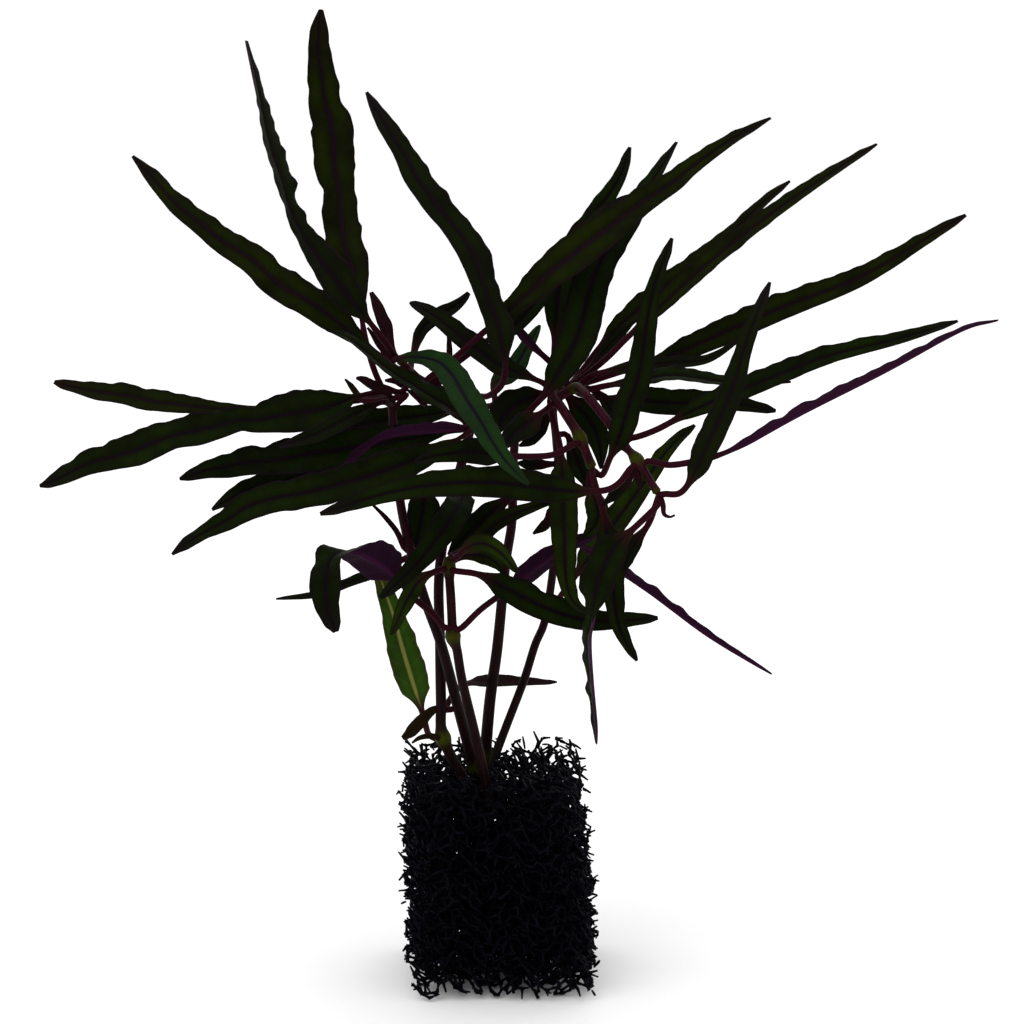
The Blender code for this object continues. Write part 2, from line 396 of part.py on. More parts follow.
def make_stem(name, material):
    """A tapering stem, swollen at its joints."""
    foot, top, points = STEMS[name]
    points = [placed(p) for p in points]
    path, _ = smooth_path(points, STEM_STATIONS + len(points))
    swellings = [(points[k], radius) for stem, k, radius in JOINTS if stem == name]
    rings = []
    for i, (centre, direction) in enumerate(zip(path, directions(path))):
        radius = foot + (top - foot) * i / (len(path) - 1)
        for place, swollen in swellings:
            nearness = max(0.0, 1.0 - (centre - place).length / 3.4)
            radius = max(radius, radius + (swollen - radius) * nearness)
        rings.append(circle(centre, direction, radius, STEM_SIDES))
    return swept(name, rings, material)


def leaf_form(name):
    """A leaf's path, its turns and half-widths as pairs (place, value), and where its blade starts."""
    if name in OUTLINED_LEAVES:
        turns, points = OUTLINED_LEAVES[name]
        seen = [p[3] for p in points]
        points = [placed(p[:3]) for p in points]
        path, _ = smooth_path(points, LEAF_STATIONS)
        run = [0.0]
        for a, b in zip(points, points[1:]):
            run.append(run[-1] + (b - a).length)
        halves = [(r / run[-1], s / 2) for r, s in zip(run, seen)]
        neck = max([place for place, half in halves if half == 0], default=-1.0)
    else:
        width, petiole, turns, points = LEAVES[name]
        path, length = smooth_path([placed(p) for p in points], LEAF_STATIONS)
        neck = petiole / length
        halves = [(0.0, 0.0)] + [(neck + (1 - neck) * p, width / 2 * share) for p, share in BLADE_OUTLINE]
    turns = [(i / (len(turns) - 1), math.radians(turn)) for i, turn in enumerate(turns)]
    return path, turns, halves, neck


def make_leaf(name, material):
    """A petiole that widens into a folded, ruffled blade with a raised midrib below."""
    path, turns, halves, neck = leaf_form(name)
    side_sign = 1.0 if path[-1].x < path[0].x else -1.0
    wave = random.Random(name).uniform(0.0, 2 * math.pi)
    rings = []
    for i, (centre, along) in enumerate(zip(path, directions(path))):
        place = i / (LEAF_STATIONS - 1)
        toward = (EYE - centre).normalized()
        facing = (toward - along * toward.dot(along)).normalized()
        up_side = along.cross(facing) * side_sign
        turn = read_off(turns, place)
        upper = facing * math.cos(turn) + up_side * math.sin(turn)
        across = along.cross(upper)
        half = read_off(halves, place)
        if name in OUTLINED_LEAVES:
            half /= max(abs(math.cos(turn)), LEAST_FACING)
        left = max(half * (1 + RUFFLE * math.sin(wave + i * 2.1)), LEAST_HALF)
        right = max(half * (1 + RUFFLE * math.sin(wave + i * 2.6 + 2)), LEAST_HALF)
        fold = LEAF_FOLD
        thick = max(BLADE_THICK * (1.15 - place), 0.16)
        if place < neck:
            left = right = thick = PETIOLE_RADIUS
            fold = 0.0
        rings.append([centre - across * left + upper * (left * fold),
                      centre + upper * thick * 0.5,
                      centre + across * right + upper * (right * fold),
                      centre - upper * thick])
    return swept(name, rings, material)


def leant(point):
    """A point of the upright block, carried over by the block's lean."""
    return Vector((point.x + FOAM_LEAN * point.z / FOAM_HEIGHT, point.y, point.z))


def make_foam(material):
    """The cut block: a pit for each open cell of its sides and top, and a flat underside."""
    spread = random.Random(FOAM_SEED)
    bm = bmesh.new()
    bmesh.ops.create_cube(bm, size=1.0)
    bmesh.ops.scale(bm, vec=(FOAM_WIDTH, FOAM_DEPTH, FOAM_HEIGHT), verts=bm.verts)
    bmesh.ops.translate(bm, vec=(0, 0, FOAM_HEIGHT / 2), verts=bm.verts)
    sizes = (FOAM_WIDTH, FOAM_DEPTH, FOAM_HEIGHT)
    for axis, size in enumerate(sizes):
        cuts = round(size / FOAM_CELL) - 1
        for k in range(cuts):
            place = size * (k + 1) / (cuts + 1) - (0 if axis == 2 else size / 2)
            plane = Vector((0, 0, 0))
            plane[axis] = place
            normal = Vector((0, 0, 0))
            normal[axis] = 1
            bmesh.ops.bisect_plane(bm, geom=bm.verts[:] + bm.edges[:] + bm.faces[:],
                                   plane_co=plane, plane_no=normal)
    bm.normal_update()
    sides = [f for f in bm.faces if f.normal.z > -0.5]
    base_verts = {v for f in bm.faces if f.normal.z < -0.5 for v in f.verts}
    for vert in bm.verts:
        nudge = Vector([spread.uniform(-1, 1) * EDGE_RAGGED for _ in range(3)])
        if vert in base_verts:
            nudge.z = 0
            edge = abs(abs(vert.co.x) - FOAM_WIDTH / 2) < 0.01 or abs(abs(vert.co.y) - FOAM_DEPTH / 2) < 0.01
            nudge *= 0.5 if edge else 0.0
        vert.co += nudge
    inward = {f: -f.normal.copy() for f in sides}
    for face in sides:
        centre = face.calc_center_median()
        depth = PIT_DEPTH * spread.uniform(0.6, 1.3)
        poked = bmesh.ops.poke(bm, faces=[face])
        poked["verts"][0].co = centre + inward[face] * depth
    bottom = [f for f in bm.faces if f.normal.z < -0.95 and f.calc_center_median().z < 0.01]
    bmesh.ops.dissolve_faces(bm, faces=bottom)
    for vert in bm.verts:
        vert.co = leant(vert.co) * MM
    bmesh.ops.recalc_face_normals(bm, faces=bm.faces)
    return added("foam_block", bm, material)


def drill_sockets(foam):
    """A round socket in the foam for the foot of each rooted stem."""
    for name in ROOTED:
        foot_radius, _, points = STEMS[name]
        low, high = placed(points[0]), placed(points[1])
        along = (high - low).normalized()
        depth = 26.0
        bm = bmesh.new()
        bmesh.ops.create_cone(bm, cap_ends=True, segments=8, radius1=foot_radius + SOCKET_GAP,
                              radius2=foot_radius + SOCKET_GAP, depth=depth)
        turned = along.to_track_quat("Z", "Y").to_matrix().to_4x4()
        start = low - along * SOCKET_FLOOR_GAP
        placing = Matrix.Translation(start + along * (depth / 2)) @ turned
        bmesh.ops.transform(bm, matrix=Matrix.Scale(MM, 4) @ placing, verts=bm.verts)
        cutter = added("cutter_" + name, bm, foam.data.materials[0])
        cutter.hide_render = True
        cutter.display_type = "WIRE"
        cut = foam.modifiers.new("socket_" + name, "BOOLEAN")
        cut.operation = "DIFFERENCE"
        cut.object = cutter


def build():
    """The whole plant in its block of foam."""
    for old in list(bpy.context.scene.objects):
        bpy.data.objects.remove(old, do_unlink=True)
    foam = make_foam(finish("foam"))
    drill_sockets(foam)
    stem_finish = finish("stem")
    for name in STEMS:
        make_stem(name, stem_finish)
    leaf_finish = finish("leaf")
    for name in list(OUTLINED_LEAVES) + list(LEAVES):
        make_leaf(name, leaf_finish)


build()
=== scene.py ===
# Hemigraphis, a purple-leaved water plant, rooted in a block of black filter foam.
# Tables are in millimetres, meshes in metres. The plant's front looks along -Y.
import math
import random

import bmesh
import bpy
import numpy as np
from mathutils import Euler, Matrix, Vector


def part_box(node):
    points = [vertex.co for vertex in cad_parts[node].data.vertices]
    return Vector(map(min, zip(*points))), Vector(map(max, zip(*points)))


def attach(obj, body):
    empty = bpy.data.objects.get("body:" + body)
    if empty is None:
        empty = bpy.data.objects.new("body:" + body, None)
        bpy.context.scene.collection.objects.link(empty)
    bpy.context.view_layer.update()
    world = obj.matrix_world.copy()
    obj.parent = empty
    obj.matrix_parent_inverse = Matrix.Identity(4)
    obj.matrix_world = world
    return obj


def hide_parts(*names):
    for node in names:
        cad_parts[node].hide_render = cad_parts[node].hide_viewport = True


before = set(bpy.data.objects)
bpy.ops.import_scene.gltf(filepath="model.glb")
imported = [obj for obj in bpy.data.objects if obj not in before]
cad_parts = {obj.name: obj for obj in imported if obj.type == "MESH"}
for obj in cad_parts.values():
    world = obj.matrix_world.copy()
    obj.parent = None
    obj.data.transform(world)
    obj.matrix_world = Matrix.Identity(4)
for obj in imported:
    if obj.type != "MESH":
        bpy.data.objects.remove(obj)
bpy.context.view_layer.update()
mm = 0.001

# Where the front view is taken from; points are (across, up, back) as seen from there
frontView = {"height": 96.0, "shift": 1.4, "distance": 650.0, "tilt": math.radians(10.0), "width": 204.8}
middle = Vector((frontView["shift"], 0.0, frontView["height"]))
towardEye = Vector((0.0, -math.cos(frontView["tilt"]), math.sin(frontView["tilt"])))
viewUp = Vector((0.0, math.sin(frontView["tilt"]), math.cos(frontView["tilt"])))
eye = middle + towardEye * frontView["distance"]


def placed(point):
    across, up, back = point
    seen = middle + Vector((across, 0.0, 0.0)) + viewUp * up
    return eye + (seen - eye) * ((back - eye.y) / (seen.y - eye.y))


curveSteps = 12   # straight steps between two points of a curve


def smoothPath(points, count):
    # evenly spaced places on a smooth curve through the points, and the curve's length
    ends = [points[0] * 2 - points[1]] + list(points) + [points[-1] * 2 - points[-2]]
    fine = []
    for a, b, c, d in zip(ends, ends[1:], ends[2:], ends[3:]):
        for step in range(curveSteps):
            t = step / curveSteps
            fine.append(0.5 * (2 * b + (c - a) * t + (2 * a - 5 * b + 4 * c - d) * t * t
                               + (3 * b - a - 3 * c + d) * t ** 3))
    fine.append(points[-1].copy())
    lengths = [0.0]
    for a, b in zip(fine, fine[1:]):
        lengths.append(lengths[-1] + (b - a).length)
    places, k = [], 0
    for i in range(count):
        target = lengths[-1] * i / (count - 1)
        while k < len(fine) - 2 and lengths[k + 1] < target:
            k += 1
        share = (target - lengths[k]) / max(lengths[k + 1] - lengths[k], 1e-9)
        places.append(fine[k].lerp(fine[k + 1], min(share, 1.0)))
    return places, lengths[-1]


def readOff(pairs, place):
    for (a, low), (b, high) in zip(pairs, pairs[1:]):
        if place <= b:
            return low + (high - low) * (place - a) / (b - a)
    return pairs[-1][1]


def smoothOff(pairs, place):
    # like readOff, but easing from one value to the next
    for (a, low), (b, high) in zip(pairs, pairs[1:]):
        if place <= b:
            t = max(0.0, (place - a) / (b - a))
            return low + (high - low) * t * t * (3 - 2 * t)
    return pairs[-1][1]


def directionsOf(path):
    return [(b - a).normalized() for a, b in zip(path[:1] + path[:-1], path[1:] + path[-1:])]


# Colours, nodes and materials
def colour(hexCode):
    parts = [int(hexCode[i:i + 2], 16) / 255 for i in (1, 3, 5)]
    return [c / 12.92 if c < 0.04045 else ((c + 0.055) / 1.055) ** 2.4 for c in parts] + [1.0]


def setSockets(tree, node, sockets):
    # each socket gets a number, a hex colour or an earlier node's output
    for key, value in sockets.items():
        if isinstance(value, bpy.types.NodeSocket):
            tree.links.new(value, node.inputs[key])
        else:
            node.inputs[key].default_value = colour(value) if isinstance(value, str) else value


def addNode(tree, kind, sockets, output=0, **settings):
    # sockets are a dictionary, or a tuple in the node's own order
    node = tree.nodes.new("ShaderNode" + kind)
    for key, value in settings.items():
        setattr(node, key, value)
    setSockets(tree, node, dict(enumerate(sockets)) if isinstance(sockets, tuple) else sockets)
    return node.outputs[output]


def newMaterial(name):
    material = bpy.data.materials.new(name)
    material.use_nodes = True
    return material, material.node_tree, material.node_tree.nodes["Principled BSDF"]


# Values that each point of a leaf carries: its share of the way from the midrib to the rim, 1 on the upper
# side, mm along the leaf, 1 on the stalk, and its share of the way along the leaf
leafAttributes = ("across", "upper", "along", "stalk", "share")
# Colours of each kind of leaf: top, its greener patches (the leaf's mottling with painted light where the
# blade bulges), veins, rim and underside, then how far the side veins show
leafTints = {
    "deep": ("#070a01", "#0e1801", "#0d050b", "#0f090d", "#1e0b1b", 0.28),
    # a greyer copy of the leaf skin: painted sheen of the pale sky reflected off these leaves
    "dusky_painted_sheen": ("#090b04", "#0e1403", "#12080f", "#150e14", "#1e0b1b", 0.28),
    "fresh": ("#10200d", "#152c0e", "#0f0b14", "#141f0f", "#1c3316", 0.25),
    "pale": ("#1a2c0b", "#28430b", "#77763a", "#3c2f14", "#34401a", 0.05),
    # a yellower copy of the leaf skin: painted light shining through the blade from behind
    "olive_painted_backlight": ("#090a01", "#131a00", "#140810", "#12090b", "#1e0b1b", 0.3),
    "lime": ("#0e1402", "#1a2702", "#120911", "#101005", "#1e0b1b", 0.2),
    "plum": ("#15070b", "#1c0d0a", "#250c1a", "#1a0c14", "#240c20", 0.28),
}
leafFinish = {
    "veinBelow": "#32112b", "foot": "#1d0b09", "stalk": "#270811",
    "gloss": {"Specular IOR Level": 0.025, "IOR": 1.42},
    "roughness": {"To Min": 0.42, "To Max": 0.62},
    "patches": {"Scale": 1 / (7.0 * mm), "Detail": 4.0},
    "patchLevels": {"From Min": 0.30, "From Max": 0.62},
    "patchGain": 4.0,
    "grain": {"Scale": 1 / (0.5 * mm), "Detail": 2.0},   # the leaf's fine cells, drawn coarse enough to show
    "midrib": {"From Min": 0.06, "From Max": 0.17, "To Min": 1.0, "To Max": 0.0},
    "veinSpacing": 4.3,   # mm between side veins
    "veinSlant": 2.6,     # mm that a side vein runs forward on its way to the rim
    "veinSway": 3.0,      # mm
    "veinEdge": 0.86,     # the cosine at which a side vein begins
    "rimEdge": {"From Min": 0.86, "From Max": 0.99},
    "footFlush": {"From Max": 0.16, "To Min": 0.6, "To Max": 0.0},
    "tipFlush": {"From Min": 0.86, "To Max": 0.8},
    "veinDepth": 0.6,
    "relief": {"Strength": 0.35, "Distance": 0.12 * mm},
}


def leafMaterial(kind):
    # living leaf skin: soft satin, darker grooves over the veins, purple at the rim and below
    look = leafFinish
    top, patchTint, veinTint, rimTint, under, sideShare = leafTints[kind]
    material, tree, shader = newMaterial("leaf_skin_" + kind)
    across, upper, along, stalk, end = [
        addNode(tree, "Attribute", {}, "Fac", attribute_name=key) for key in leafAttributes]
    place = addNode(tree, "TexCoord", {}, "Object")
    patches = addNode(tree, "TexNoise", {"Vector": place, **look["patches"]}, "Fac")
    grain = addNode(tree, "TexNoise", {"Vector": place, **look["grain"]}, "Fac")
    # the blade is greenest halfway between the midrib and the rim, where it bulges: the leaf's own mottling,
    # with painted light on the bulge
    lit = addNode(tree, "MapRange", {"Value": patches, **look["patchLevels"]})
    falling = addNode(tree, "Math", (across, -1.0, 1.0), operation="MULTIPLY_ADD")
    bulge = addNode(tree, "Math", (across, falling), operation="MULTIPLY")
    green = addNode(tree, "Math", (bulge, lit), operation="MULTIPLY")
    litPatch = addNode(tree, "Math", (green, look["patchGain"]), operation="MULTIPLY", use_clamp=True)
    # side veins leave the midrib at a slant, not quite evenly
    midrib = addNode(tree, "MapRange", {"Value": across, **look["midrib"]})
    swayed = addNode(tree, "Math", (patches, look["veinSway"], along), operation="MULTIPLY_ADD")
    slant = addNode(tree, "Math", (across, -look["veinSlant"], swayed), operation="MULTIPLY_ADD")
    turned = addNode(tree, "Math", (slant, 2 * math.pi / look["veinSpacing"]), operation="MULTIPLY")
    wave = addNode(tree, "Math", (turned,), operation="COSINE")
    sideVein = addNode(tree, "MapRange", {"Value": wave, "From Min": look["veinEdge"], "To Max": sideShare})
    veins = addNode(tree, "Math", (midrib, sideVein), operation="MAXIMUM")
    # the foot of the blade is flushed red, as the stalk is
    rim = addNode(tree, "MapRange", {"Value": across, **look["rimEdge"]})
    foot = addNode(tree, "MapRange", {"Value": end, **look["footFlush"]})
    tip = addNode(tree, "MapRange", {"Value": end, **look["tipFlush"]})
    below = addNode(tree, "Mix", {0: veins, 6: under, 7: look["veinBelow"]}, 2, data_type="RGBA")
    # greener patches: mottling plus painted light on the bulging blade
    skin = addNode(tree, "Mix", {0: litPatch, 6: top, 7: patchTint}, 2, data_type="RGBA")
    for share, tint in ((veins, veinTint), (rim, rimTint), (foot, look["foot"]), (tip, rimTint)):
        skin = addNode(tree, "Mix", {0: share, 6: skin, 7: tint}, 2, data_type="RGBA")
    skin = addNode(tree, "Mix", {0: upper, 6: below, 7: skin}, 2, data_type="RGBA")
    skin = addNode(tree, "Mix", {0: stalk, 6: skin, 7: look["stalk"]}, 2, data_type="RGBA")
    relief = addNode(tree, "Math", (veins, -look["veinDepth"], grain), operation="MULTIPLY_ADD")
    setSockets(tree, shader, {
        "Base Color": skin, **look["gloss"],
        "Roughness": addNode(tree, "MapRange", {"Value": patches, **look["roughness"]}),
        "Normal": addNode(tree, "Bump", {"Height": relief, **look["relief"]})})
    return material


stemFinish = {
    "low": ("#090504", "#1c080c"), "crown": ("#1c060c", "#340a18"), "joint": "#2a2e00",
    "gloss": {"Roughness": 0.42, "Specular IOR Level": 0.04, "IOR": 1.42},
    "crownHeights": {"From Min": 70 * mm, "From Max": 115 * mm},
    "streaks": {"Scale": 1 / (0.8 * mm), "Detail": 3.0},   # by the width of a streak
    "drawn": 0.12,        # how much slower the streaks change upwards
    "streakLevels": {"From Min": 0.35, "From Max": 0.7},
    "relief": {"Strength": 0.4, "Distance": 0.1 * mm},
}


def stemMaterial():
    # smooth succulent stem: dark purple skin with fine lengthwise streaks, yellow-green at the joints
    look = stemFinish
    material, tree, shader = newMaterial("stem_skin")
    place = addNode(tree, "TexCoord", {}, "Object")
    drawn = addNode(tree, "Mapping", {"Vector": place, "Scale": (1.0, 1.0, look["drawn"])})
    streaks = addNode(tree, "TexNoise", {"Vector": drawn, **look["streaks"]}, "Fac")
    share = addNode(tree, "MapRange", {"Value": streaks, **look["streakLevels"]})
    height = addNode(tree, "SeparateXYZ", (place,), "Z")
    raised = addNode(tree, "MapRange", {"Value": height, **look["crownHeights"]})
    low, crown = [addNode(tree, "Mix", {0: share, 6: dark, 7: light}, 2, data_type="RGBA")
                  for dark, light in (look["low"], look["crown"])]
    skin = addNode(tree, "Mix", {0: raised, 6: low, 7: crown}, 2, data_type="RGBA")
    joint = addNode(tree, "Attribute", {}, "Fac", attribute_name="joint")
    setSockets(tree, shader, {
        "Base Color": addNode(tree, "Mix", {0: joint, 6: skin, 7: look["joint"]}, 2, data_type="RGBA"),
        "Normal": addNode(tree, "Bump", {"Height": streaks, **look["relief"]}), **look["gloss"]})
    return material


foamFinish = {
    "tints": ("#040409", "#070810"), "gloss": {"Roughness": 0.6, "Specular IOR Level": 0.03, "IOR": 1.5},
    # the noise of the lighter blotches that paint a slight sheen; it also gives the bump
    "paintedSheen": {"Scale": 1 / (2.5 * mm), "Detail": 3.0},
    "paintedSheenLevels": {"From Min": 0.4, "From Max": 0.75},
    "relief": {"Strength": 0.3, "Distance": 0.1 * mm},
}


def foamMaterial():
    # reticulated polyurethane foam: near-black struts, slightly blue, with a dull skin and lighter blotches
    # of painted sheen
    look = foamFinish
    material, tree, shader = newMaterial("reticulated_polyurethane")
    place = addNode(tree, "TexCoord", {}, "Object")
    paintedSheen = addNode(tree, "TexNoise", {"Vector": place, **look["paintedSheen"]}, "Fac")
    # lighter blotches of painted sheen on the near-black struts
    share = addNode(tree, "MapRange", {"Value": paintedSheen, **look["paintedSheenLevels"]})
    dark, light = look["tints"]
    setSockets(tree, shader, {
        "Base Color": addNode(tree, "Mix", {0: share, 6: dark, 7: light}, 2, data_type="RGBA"),
        "Normal": addNode(tree, "Bump", {"Height": paintedSheen, **look["relief"]}), **look["gloss"]})
    return material


scaleFinish = {
    "tints": ("#0b0602", "#1c1304"), "gloss": {"Roughness": 0.7, "Specular IOR Level": 0.04},
    "blotches": {"Scale": 1 / (1.5 * mm), "Detail": 4.0},
}


def scaleLeafMaterial():
    # dry scale leaf: brown, papery and dull, with soft blotches
    look = scaleFinish
    material, tree, shader = newMaterial("dry_scale_leaf")
    place = addNode(tree, "TexCoord", {}, "Object")
    blotch = addNode(tree, "TexNoise", {"Vector": place, **look["blotches"]}, "Fac")
    dark, light = look["tints"]
    skin = addNode(tree, "Mix", {0: blotch, 6: dark, 7: light}, 2, data_type="RGBA")
    setSockets(tree, shader, {"Base Color": skin, **look["gloss"]})
    return material


# Meshes and pieces
def tubeOf(bm, stations, count, settle):
    # a closed tube bent from a grid, with stations + 1 rings of count points; settle(vert, i, k) places one
    sheet = bmesh.ops.create_grid(bm, x_segments=count - 1, y_segments=stations, size=1.0)["verts"]
    table = {}
    for vert in sheet:
        k = round((vert.co.x + 1) / 2 * (count - 1))
        i = round((vert.co.y + 1) / 2 * stations)
        settle(vert, i, k)
        table[i, k] = vert
    for i in range(stations):
        bm.faces.new((table[i, count - 1], table[i, 0], table[i + 1, 0], table[i + 1, count - 1]))
    for i in (0, stations):
        bm.faces.new([table[i, k] for k in range(count)])
    bmesh.ops.recalc_face_normals(bm, faces=bm.faces)


def addPiece(name, mesh, material, nodes):
    mesh.materials.append(material)
    mesh.shade_smooth()
    piece = bpy.data.objects.new(name, mesh)
    bpy.context.scene.collection.objects.link(piece)
    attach(piece, "root")
    if nodes:
        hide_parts(*nodes)


def finishPiece(name, bm, material, nodes):
    mesh = bpy.data.meshes.new(name)
    bm.to_mesh(mesh)
    bm.free()
    addPiece(name, mesh, material, nodes)


# Stems: radius at the foot and at the top, then the points
stems = {
    "stem_back_left": (1.05, 0.90, ((-7, -58.4, -6), (-9.4, -53.8, -7.5), (-13.8, -45.2, -10),
        (-14.2, -37.6, -8), (-14.4, -25.6, -5), (-14.6, -13, -2), (-13, -2, 2), (-9.5, 12, 4),
        (-6.8, 22.4, 3))),
    "stem_left": (1.10, 0.80, ((-6.4, -55.8, -0.5), (-7.6, -51, -2), (-10.4, -40.6, -6.5),
        (-14, -27, -11), (-17.4, -17.6, -12), (-20.4, -7.2, -11), (-22.4, 2.4, -6), (-23.6, 14.4, -2),
        (-24, 22.6, 0))),
    "stem_front": (0.95, 0.85, ((-3.4, -60.8, -10.5), (-4.6, -56.4, -11.5), (-7.6, -43.6, -14),
        (-10, -33.6, -16), (-11, -27.6, -17), (-11.8, -24.8, -17), (-12.2, -17.6, -17), (-12.6, -11, -16),
        (-12.2, -8.6, -16))),
    "stem_middle": (1.20, 0.80, ((-5.9, -54.6, 6.5), (-5.4, -49, 6), (-4.4, -37.6, 5.5), (-3, -27.6, 5),
        (-2, -17.6, 4), (-1.2, -9.6, 3), (0, -1.6, 2), (0.2, 8.4, 1), (0.8, 17.4, 0))),
    "stem_right": (0.85, 0.75, ((-4.6, -53.6, 1.6), (-3.4, -49, 3), (-1.2, -43, 5), (2.4, -33.6, 9),
        (4.6, -26.6, 12), (6.6, -21.6, 14), (8.2, -11.6, 15), (9.6, 2.4, 12), (8.8, 14.4, 6),
        (8.4, 21.4, 4), (11.4, 25.2, 2))),
    "shoot_left": (0.95, 0.65, ((-9, 23.6, 0.6), (-13.4, 24.2, 0), (-18.4, 26.6, 0), (-20.8, 28.8, -1),
        (-23, 30.8, -2))),
    "shoot_inner_right": (0.95, 0.85, ((8, 24, -1), (10.6, 19.8, -7), (13.6, 14.8, -10), (16.2, 8.4, -12))),
    "shoot_outer_right": (0.90, 0.70, ((12.8, 24.8, -2.6), (15.2, 23, -8), (19.2, 18, -13),
        (22, 13.8, -17), (25, 10.4, -21), (29.4, 3.4, -25))),
}
rooted = ("stem_back_left", "stem_left", "stem_front", "stem_middle", "stem_right")

# Swollen joints: the stem, the place along its points (counted from 0) and the radius
joints = (("stem_back_left", 2, 1.6), ("stem_front", 5, 1.5), ("stem_front", 7, 1.3),
          ("shoot_inner_right", 2, 1.3), ("shoot_outer_right", 3, 1.1), ("shoot_outer_right", 4, 1.35),
          ("stem_middle", 1, 1.5), ("stem_left", 1, 1.4))   # the last two stand low, at the foam

# Half-width of a common blade along its length, as (place, share of the greatest half-width)
bladeOutline = ((0, 0.16), (0.07, 0.50), (0.15, 0.85), (0.28, 1), (0.45, 0.95), (0.65, 0.74),
                (0.82, 0.54), (0.95, 0.34), (1, 0.12))

